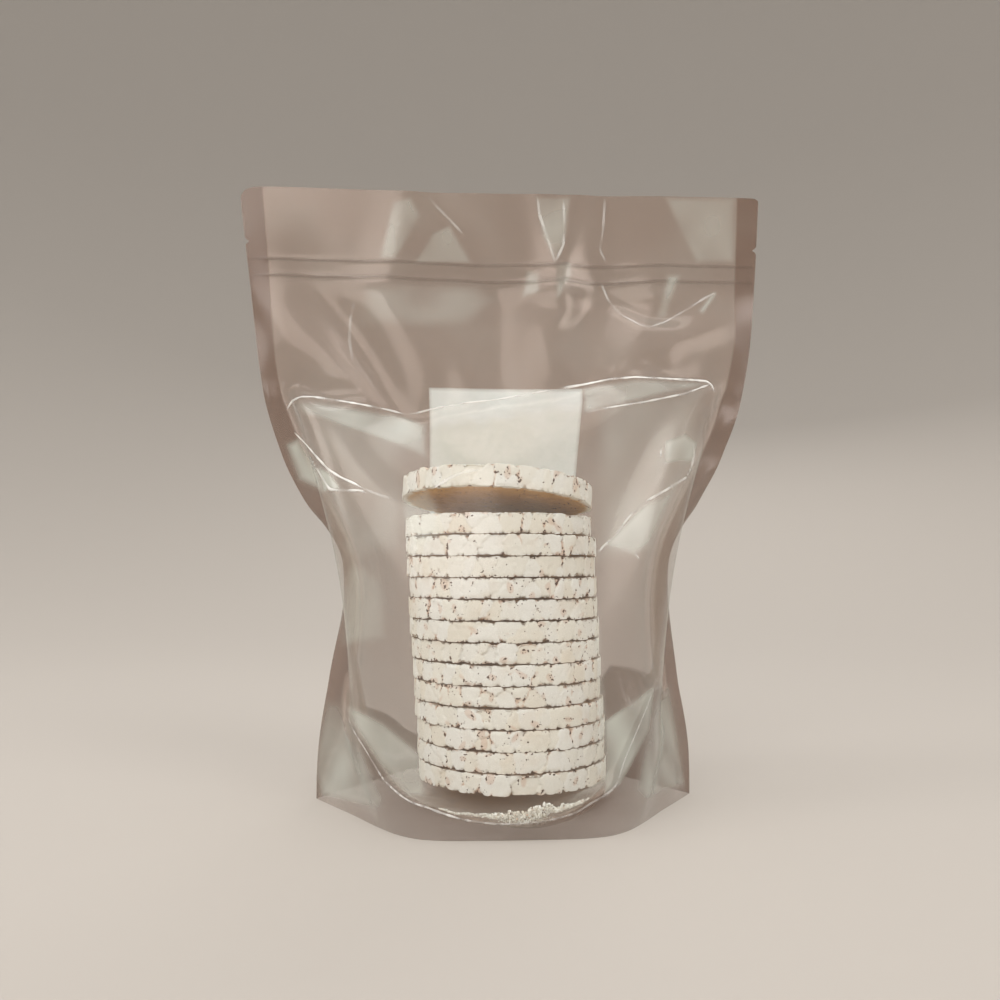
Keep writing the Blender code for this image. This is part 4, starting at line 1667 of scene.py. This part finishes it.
@dataclass
class Cracker:
    """One round puffed rice cracker: a disc of grains pressed flat against a mould."""

    seed: int
    radius: float
    thickness: float
    top_spread: Spread = Spread.HIDDEN
    bottom_spread: Spread = Spread.HIDDEN
    grain: float = 6.2
    turns: int = 520
    wall_rows: int = 19
    corner: float = 0.22

    def profile(self) -> tuple[Array, Array]:
        """The outline from the underside's middle round the wall to the top's middle, with quarter-circle corners.

        Returns:
            The radius and the height of each of its points.
        """
        half = self.thickness / 2
        edge = self.radius - self.corner
        bend = np.linspace(0, math.pi / 2, 6)[1:-1]

        def face(spread: Spread) -> Array:
            """Radii of a face's rings, closer together towards the wall."""
            return edge * (1 - (1 - np.linspace(0.02, 1, spread.value)) ** 1.25)

        under, over = face(self.bottom_spread), face(self.top_spread)[::-1]
        wall = np.linspace(-half + self.corner, half - self.corner, self.wall_rows)
        low = (edge + self.corner * np.sin(bend), -half + self.corner * (1 - np.cos(bend)))
        high = (edge + self.corner * np.cos(bend), half - self.corner * (1 - np.sin(bend)))
        radius = np.concatenate([under, low[0], np.full(len(wall), self.radius), high[0], over])
        height = np.concatenate([np.full(len(under), -half), low[1], wall, high[1], np.full(len(over), half)])
        return radius, height

    def grains(self, rng: np.random.Generator) -> Array:
        """The grains' middles: a jittered triangular lattice in the disc, with uneven heights.

        Args:
            rng: draws the jitter and the heights.

        Returns:
            One row of coordinates per grain.
        """
        count = int(self.radius / self.grain) + 2
        i, j = np.meshgrid(np.arange(-count, count + 1), np.arange(-count, count + 1))
        place = np.stack([i + 0.5 * (j % 2), j * 0.866], -1).reshape(-1, 2) * self.grain
        place += rng.uniform(-0.36, 0.36, place.shape) * self.grain
        place = place[np.hypot(*place.T) < self.radius + self.grain * 0.3]
        height = rng.uniform(-0.5, 0.5, (len(place), 1)) * self.thickness
        return np.concatenate([place, height], axis=1)

    def seams(self, points: Array, grains: Array, rng: np.random.Generator) -> tuple[Array, Array, Array]:
        """Each point's nearest grain, and how far it is from the seams with the next two.

        A grain's squared distance is lessened by a bulk of its own, so that grains differ in size. The way to a seam
        is the difference of two such distances over the distance between the two grains.

        Args:
            points: a grid of places.
            grains: the grains' middles.
            rng: draws the bulks.

        Returns:
            The nearest grain's number, and the ways to the seams with the second and the third.
        """
        squash = np.array([1, 1, 0.8])
        wobble = np.stack([ripple(points, 4.0, self.seed + k) for k in (11, 12, 13)], -1) * 0.8
        flat = ((points + wobble) * squash).reshape(-1, 3).astype(np.float32)
        centres = (grains * squash).astype(np.float32)
        bulk = (rng.uniform(0, 0.62, len(grains)) * self.grain).astype(np.float32) ** 2
        far = (flat**2).sum(1)[:, None] + ((centres**2).sum(1) - bulk)[None] - 2 * flat @ centres.T
        order = np.argpartition(far, 2, axis=1)[:, :3]
        order = np.take_along_axis(order, np.take_along_axis(far, order, 1).argsort(1), 1)
        near = np.take_along_axis(far, order, 1)
        nearest, *others = centres[order].transpose(1, 0, 2)
        seam, triple = [
            ((near[:, k] - near[:, 0]) / np.linalg.norm(nearest - other, axis=1)).reshape(points.shape[:2])
            for k, other in enumerate(others, 1)
        ]
        return order[:, 0].reshape(points.shape[:2]), seam, triple

    def surface(self) -> tuple[Array, Fields]:
        """The cracker's points with its grooves, and what its finish needs to know at each point.

        A point sinks in where two grains meet, more where three do and at the rounded edges, which small nicks also
        cut. A grain stands out or in by its own amount. Husks gather along the grooves, in patches. Grooves, pits,
        nicks and faces hidden in the stack get painted shade. The faces are toasted, the underside browner with painted
        shade.

        Returns:
            The grid of points (rings by turns), and the shaded_groove (painted shade), tint, husk and face (toast, with
            painted shade on the underside) fields.
        """
        rng = np.random.default_rng(self.seed)
        radius, height = self.profile()
        half = self.thickness / 2
        turn = np.linspace(0, math.tau, self.turns, endpoint=False)
        points = np.empty((len(radius), self.turns, 3))
        points[..., 0] = radius[:, None] * np.cos(turn)
        points[..., 1] = radius[:, None] * np.sin(turn)
        points[..., 2] = height[:, None]
        grains = self.grains(rng)
        nearest, seam, triple = self.seams(points, grains, rng)
        own = rng.uniform(size=len(grains))
        stand = rng.normal(0, 0.13, len(grains)) - 0.45 * (rng.uniform(size=len(grains)) < 0.12)

        out_by = np.hypot(points[..., 0], points[..., 1]) - self.radius
        edge = smoothstep((np.abs(points[..., 2]) - half + 2.2) / 2.2) * smoothstep((out_by + 3) / 3)
        open_here = np.clip(1.2 * ripple(points, 12, self.seed + 21), 0, 1)
        shaded_groove = bell(seam / 0.45, 1.4) * (0.1 + 0.9 * np.maximum(open_here, edge * 0.5))
        pit = bell(triple / 1.2)
        nick = bell(ripple(points * [1, 1, 0.3], 3.4, self.seed + 41) / 0.2)
        nick *= np.clip(0.5 + 1.2 * ripple(points, 9, self.seed + 42), 0, 1.3)
        depth = shaded_groove * (0.12 + 0.4 * edge) + pit * (0.25 + 0.7 * edge) + edge**2 * nick * 0.75
        apart_here = np.clip(0.1 + 1.3 * ripple(points, 15, self.seed + 71), 0, 1)
        depth += edge**2 * (bell(seam / 1.6) * 0.4 + 0.4 * apart_here)
        wall = smoothstep((out_by + self.corner) / self.corner)
        cell = bell(seam / 1.1, 1.5) * (1 - wall)
        depth += 0.13 * bell(seam / 1.5, 1.5) * (1 - edge) + 0.3 * cell
        lift = stand[nearest] + 0.16 * ripple(points, 6, self.seed + 31)
        out = np.stack([np.cos(turn), np.sin(turn), np.zeros_like(turn)], -1)[None]
        face = np.sign(points[..., 2]) * ((1 - wall) + edge * 0.6)
        normal = unit(out * wall[..., None] + face[..., None] * np.array([0, 0, 1]))
        points = points + normal * (np.minimum(lift, 0.14) - depth)[..., None]
        oval = 1 + 0.006 * np.cos(2 * turn + rng.uniform(0, 6)) + 0.003 * np.cos(5 * turn + rng.uniform(0, 6))
        points[..., :2] *= oval[None, :, None]
        points[..., 2] += 0.16 * ripple(points * [1, 1, 0], 34, self.seed + 51)
        # Painted shade: darker in the grooves, the pits, the nicks and the seams of the faces.
        shade = np.clip(shaded_groove * 0.3 + pit * 0.75 + edge**2 * nick * 0.5 + cell * 0.6, 0, 1)
        gather = np.clip(1.6 * ripple(points, 9, self.seed + 61) + 0.4, 0, 1)
        near_seam = bell(seam / 1.4) * 0.4 + bell(triple / 1.8) * 0.6 + edge * 0.45
        patch = smoothstep((ripple(points, 8, self.seed + 62) - 0.3) / 0.45)
        husk = np.clip(np.maximum(near_seam * gather, 0.62 * patch), 0, 1)
        # Faces hidden inside the stack get painted shade, which darkens the gaps between the crackers.
        hidden = np.where(height[:, None] > 0, self.top_spread is Spread.HIDDEN, self.bottom_spread is Spread.HIDDEN)
        shade = np.maximum(shade, hidden * (1 - wall) * 0.9)
        # Face toast: full on the underside and 0.42 on top, the difference painted shade.
        inside = (1 - wall) * smoothstep((-1 - out_by) / 3) * np.where(height[:, None] > 0, 0.42, 1)
        fields = {"shaded_groove": shade, "tint": own[nearest], "husk": husk, "face": inside}
        return points, fields

    def mesh(self, turn_deg: float, tilt: Array, centre: Array) -> tuple[Array, list[Array], Fields]:
        """The finished cracker, turned, tilted and put in place.

        Args:
            turn_deg: turn about its own axis.
            tilt: the 3 by 3 tilt.
            centre: where its middle goes.

        Returns:
            The points, faces and point fields.
        """
        grid, fields = self.surface()
        rings, turns = grid.shape[:2]
        poles = np.stack([grid[0].mean(0), grid[-1].mean(0)])
        points = np.concatenate([grid.reshape(-1, 3), poles])
        turn = math.radians(turn_deg)
        spin = np.array([[math.cos(turn), -math.sin(turn), 0], [math.sin(turn), math.cos(turn), 0], [0, 0, 1]])
        points = points @ (tilt @ spin).T + centre
        number = np.arange(turns)
        after = np.roll(number, -1)
        last = (rings - 1) * turns
        caps = [
            np.stack([np.full(turns, rings * turns), after, number], -1),
            np.stack([np.full(turns, rings * turns + 1), number + last, after + last], -1),
        ]
        fields = {key: np.concatenate([values.ravel(), [0.3, 0.3]]) for key, values in fields.items()}
        return points, [grid_faces(rings, turns, ring=True), *caps], fields


@dataclass
class CrackerPile:
    """The stack of crackers, each its own piece."""

    stack: Stack
    seed: int = 31

    def build(self, finish: Material) -> None:
        """Builds the crackers from the lowest up: level ones, and a last one with its front lifted.

        Args:
            finish: their material.
        """
        rng, stack = np.random.default_rng(self.seed), self.stack
        for number in range(stack.count):
            last = number == stack.count - 1
            middle = stack.base + (number + 0.5) * stack.pitch
            centre = np.array([float(stack.axis_x(middle)), 0.0, middle])
            centre[:2] += rng.uniform(-0.5, 0.5, 2)
            radius = stack.radius + rng.uniform(-0.6, 0.1)
            tilt = np.eye(3)
            if last:
                radius, tilt, centre = stack.head_radius, stack.head_tilt, stack.head_middle
            cracker = Cracker(
                seed=self.seed * 100 + number * 7,
                radius=radius,
                thickness=stack.head_thickness if last else stack.thickness,
                top_spread=Spread.SHOWN if number >= stack.count - 2 else Spread.HIDDEN,
                bottom_spread=Spread.SHOWN if last else Spread.HIDDEN,
            )
            points, faces, fields = cracker.mesh(rng.uniform(0, 360), tilt, centre)
            piece = make_piece(f"cracker_{number + 1:02d}", points, faces, finish, fields)
            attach(piece, "root")
            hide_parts("pouch")


@dataclass
class Crumbs:
    """Loose crumbs that lie along the trough in front of the stack."""

    front: Sheet
    bottom: Sheet
    pattern: Pattern
    count: int = 2100
    seed: int = 12

    def places(self, u: Array, heap: Array, size: Array, rng: np.random.Generator) -> Array:
        """Where crumbs of these sizes lie: behind the front film, and on the gusset or on one another.

        The highest point of the gusset within a crumb's reach is its ground. It lies above that by up to the heap's
        height, which falls off backwards.

        Args:
            u: their places across the pattern.
            heap: how high the heap is there, 0 to 1.
            size: their radii.
            rng: draws how far back and how high each lies.

        Returns:
            Their middles.
        """
        edge = self.pattern.seal_top(u)[:, None]
        steps = np.linspace(0, 16, 65)
        wide = np.repeat(u[:, None], len(steps), 1)
        film = self.front.at(wide, edge - 1 + steps)
        ground = self.bottom.at(wide, edge - self.pattern.gusset + steps)
        reach = size * 1.25 + 0.15
        back = rng.uniform(0, 1, len(u)) ** 1.6
        y = film[:, 4, 1] + reach + back * (0.6 + 3.2 * heap)
        below = np.abs(ground[..., 1] - y[:, None]) < reach[:, None]
        height = (0.5 + 4.4 * heap) * (0.8 + 0.7 * ripple(np.stack([u, u * 0, u * 0], -1), 7, self.seed))
        z = np.where(below, ground[..., 2], 0).max(1) + reach + height * (1 - 0.5 * back) * rng.uniform(0, 1, len(u))
        skin = film[np.arange(len(u)), np.abs(film[..., 2] - z[:, None]).argmin(1)]
        return np.stack([skin[:, 0], np.maximum(y, skin[:, 1] + reach), z], -1)

    @staticmethod
    def icosahedron() -> tuple[Array, Array]:
        """An icosahedron of radius 1, from three golden rectangles. Any three corners that touch make a face.

        Returns:
            Its corners, and its faces as corner numbers.
        """
        golden = (1 + math.sqrt(5)) / 2
        one = [(a, b * golden, 0) for a in (-1, 1) for b in (-1, 1)]
        corners = np.array([np.roll(corner, shift) for shift in range(3) for corner in one])
        corners /= np.linalg.norm(corners, axis=1, keepdims=True)
        far = np.linalg.norm(corners[:, None] - corners[None], axis=-1)
        faces = np.array([t for t in combinations(range(12), 3) if all(far[i, j] < 1.2 for i, j in combinations(t, 2))])
        a, b, c = corners[faces].transpose(1, 0, 2)
        inward = (np.cross(b - a, c - a) * (a + b + c)).sum(1) < 0
        faces[inward] = faces[inward][:, ::-1]
        return corners, faces

    def build(self, finish: Material) -> None:
        """Builds the crumbs as one piece of small uneven flakes.

        Each is an icosahedron whose corners are pushed in or out at random, squashed and turned. They lie along the
        bottom seal's upper edge, in a heap that is highest right of the middle.

        Args:
            finish: their material.
        """
        rng = np.random.default_rng(self.seed)
        corners, faces = self.icosahedron()
        count = self.count
        heaped = rng.uniform(size=count) < 0.6
        u = np.where(heaped, rng.normal(5, 10.5, count), rng.uniform(-31, 29, count))
        u = np.clip(u, -33 + rng.exponential(2.5, count), 31 - rng.exponential(2.5, count))
        heap = bell((u - 6) / 14)
        size = np.minimum(np.clip(rng.lognormal(-0.78, 0.5, count), 0.25, 1.3), 0.4 + 0.8 * heap)
        centre = self.places(u, heap, size, rng)
        stretch = rng.uniform(0.55, 1.25, (count, 1, 3)) * np.array([1, 1, 0.7])
        shape = corners[None] * rng.uniform(0.62, 1.18, (count, 12, 1)) * stretch * size[:, None, None]
        turn, _ = np.linalg.qr(rng.normal(size=(count, 3, 3)))
        turn *= np.linalg.det(turn)[:, None, None]
        points = np.einsum("nij,nkj->nki", turn, shape) + centre[:, None]
        numbers = faces[None] + 12 * np.arange(count)[:, None, None]
        tint = np.repeat(rng.uniform(0, 0.8, count), 12)
        dark = np.repeat((rng.uniform(size=count) < 0.05) * 1.0, 12)
        # Each crumb gets a random amount of painted shade.
        shade = np.repeat(rng.uniform(0, 0.75, count), 12)
        fields = {"tint": tint, "shaded_groove": shade, "husk": dark, "face": np.zeros_like(dark)}
        made = make_piece("crumbs", points.reshape(-1, 3), [numbers.reshape(-1, 3)], finish, fields, None, 30)
        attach(made, "root")
        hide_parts("pouch")


@dataclass
class Studio:
    """The floor, the lights and the camera."""

    floor_radius: float = 0.8
    wall_radius: float = 4.0
    wall_height: float = 3.4
    camera_distance: float = 421.0
    camera_height: float = 110.4
    camera_turn_deg: float = -3.0
    lens: float = 31.5
    shift_up: float = 0.0665
    aside: float = -2.4

    def floor(self, finish: Material) -> None:
        """A round floor that curves up into a wall far away, so that no edge shows from any side.

        Its outline is a flat run and a quarter ellipse, carried round a circle.

        Args:
            finish: its material.
        """
        bend = np.linspace(0, math.pi / 2, 24)
        radius = np.concatenate(
            [[0.001, 0.2, 0.4, 0.6], self.floor_radius + (self.wall_radius - self.floor_radius) * np.sin(bend)]
        )
        height = np.concatenate([[0, 0, 0, 0], self.wall_height * (1 - np.cos(bend))])
        turn = np.linspace(0, math.tau, 96, endpoint=False)
        level = np.outer(height, np.ones_like(turn))
        points = np.stack([np.outer(radius, np.cos(turn)), np.outer(radius, np.sin(turn)), level], -1).reshape(-1, 3)
        made = make_piece("studio_floor", points / MM, [grid_faces(len(radius), len(turn), ring=True)], finish)

    def light(self, name: str, place: Place, aim: Place, size: tuple[float, float], power: float) -> None:
        """A soft oval light that the camera doesn't see.

        Args:
            name: its name.
            place: where it stands, in metres.
            aim: what it points at.
            size: its width and height.
            power: its power in watts.
        """
        data = bpy.data.lights.new(name, "AREA")
        data.shape = "ELLIPSE"
        data.size, data.size_y = size
        data.energy = power
        made = put_in_scene(name, data)
        made.location = place
        way = np.array(aim) - np.array(place)
        flat = math.hypot(way[0], way[1])
        made.rotation_euler = (math.atan2(flat, -way[2]), 0, math.atan2(way[1], way[0]) - math.pi / 2)
        made.visible_camera = False

    def lights(self) -> None:
        """Soft studio light: a wide one high in front, one at each side, above and behind, and a dim room."""
        centre = (0.0, 0.0, 0.15)
        self.light("window_softbox", (-1.1, -1.9, 1.6), centre, (2.2, 1.7), 32)
        self.light("right_softbox", (1.7, -1.4, 1.0), centre, (1.2, 1.4), 19)
        self.light("top_softbox", (0.0, 0.2, 2.3), centre, (1.8, 1.4), 16)
        self.light("left_softbox", (-1.5, -0.3, 0.9), centre, (0.5, 1.3), 7)
        self.light("back_softbox", (0.6, 1.8, 1.5), centre, (1.2, 1.0), 9)
        world = bpy.data.worlds.new("studio_room")
        world.use_nodes = True
        tree = world.node_tree
        Shader(tree).feed(tree.nodes["Background"], {"Color": (0.97, 0.985, 1.0, 1.0), "Strength": 0.7})
        bpy.context.scene.world = world

    @property
    def eye(self) -> Place:
        """The camera's place in millimetres."""
        turn, away = math.radians(self.camera_turn_deg), self.camera_distance
        return math.sin(turn) * away + self.aside, -math.cos(turn) * away, self.camera_height

    def camera(self) -> None:
        """A level camera at the photograph's place, with its view shifted up a little."""
        data = bpy.data.cameras.new("camera")
        data.sensor_width, data.lens, data.shift_y = 36.0, self.lens, self.shift_up
        data.clip_start, data.clip_end = 0.01, 50
        made = put_in_scene("camera", data)
        made.location = [place * MM for place in self.eye]
        made.rotation_euler = (math.radians(90), 0, math.radians(self.camera_turn_deg))
        bpy.context.scene.camera = made

    def front_view(self) -> FrontView:
        """The plane on which the front film's lines are laid out."""
        return FrontView(self.eye, self.camera_turn_deg, self.camera_distance)

    def build(self, finish: Material) -> None:
        """Builds the whole studio and sets how the scene is shown.

        Args:
            finish: the floor's material.
        """
        self.floor(finish)
        self.lights()
        self.camera()
        scene = bpy.context.scene
        scene.view_settings.view_transform = "Standard"
        scene.cycles.transparent_max_bounces = 32


def main() -> None:
    """Builds the films, the crackers, the crumbs, the label and the studio, and reports each piece."""
    logging.basicConfig(level=logging.INFO, format="%(name)s %(message)s")
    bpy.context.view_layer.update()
    pattern, stack = Pattern(), Stack()
    maker = FilmMaker(pattern, stack)
    films = maker.films()
    studio = Studio()
    view = studio.front_view()
    pattern = pattern.with_seal_seen(films[Panel.FRONT], view)
    maker.pattern = pattern
    bottom = maker.gusset(films)

    clouding, speckle = film_clouding(), grain_speckle()
    film = FilmFinish().material(clouding)
    back_film = FilmFinish("clear_back_film", veil=0.44).material(clouding)
    plastic = ZipFinish().material(clouding)
    rice = CrackerFinish().material(speckle)
    folds, label = Folds(view), Label(films[Panel.BACK])
    Pouch(pattern, films, bottom, folds, label).build(film, back_film, plastic)
    folds.build(films[Panel.FRONT], pattern, CreaseGlintFinish().material())
    label.build(PaperFinish().material())
    CrackerPile(stack).build(rice)
    Crumbs(films[Panel.FRONT], bottom, pattern).build(rice)
    studio.build(FloorFinish().material())


if __name__ == "__main__":
    main()
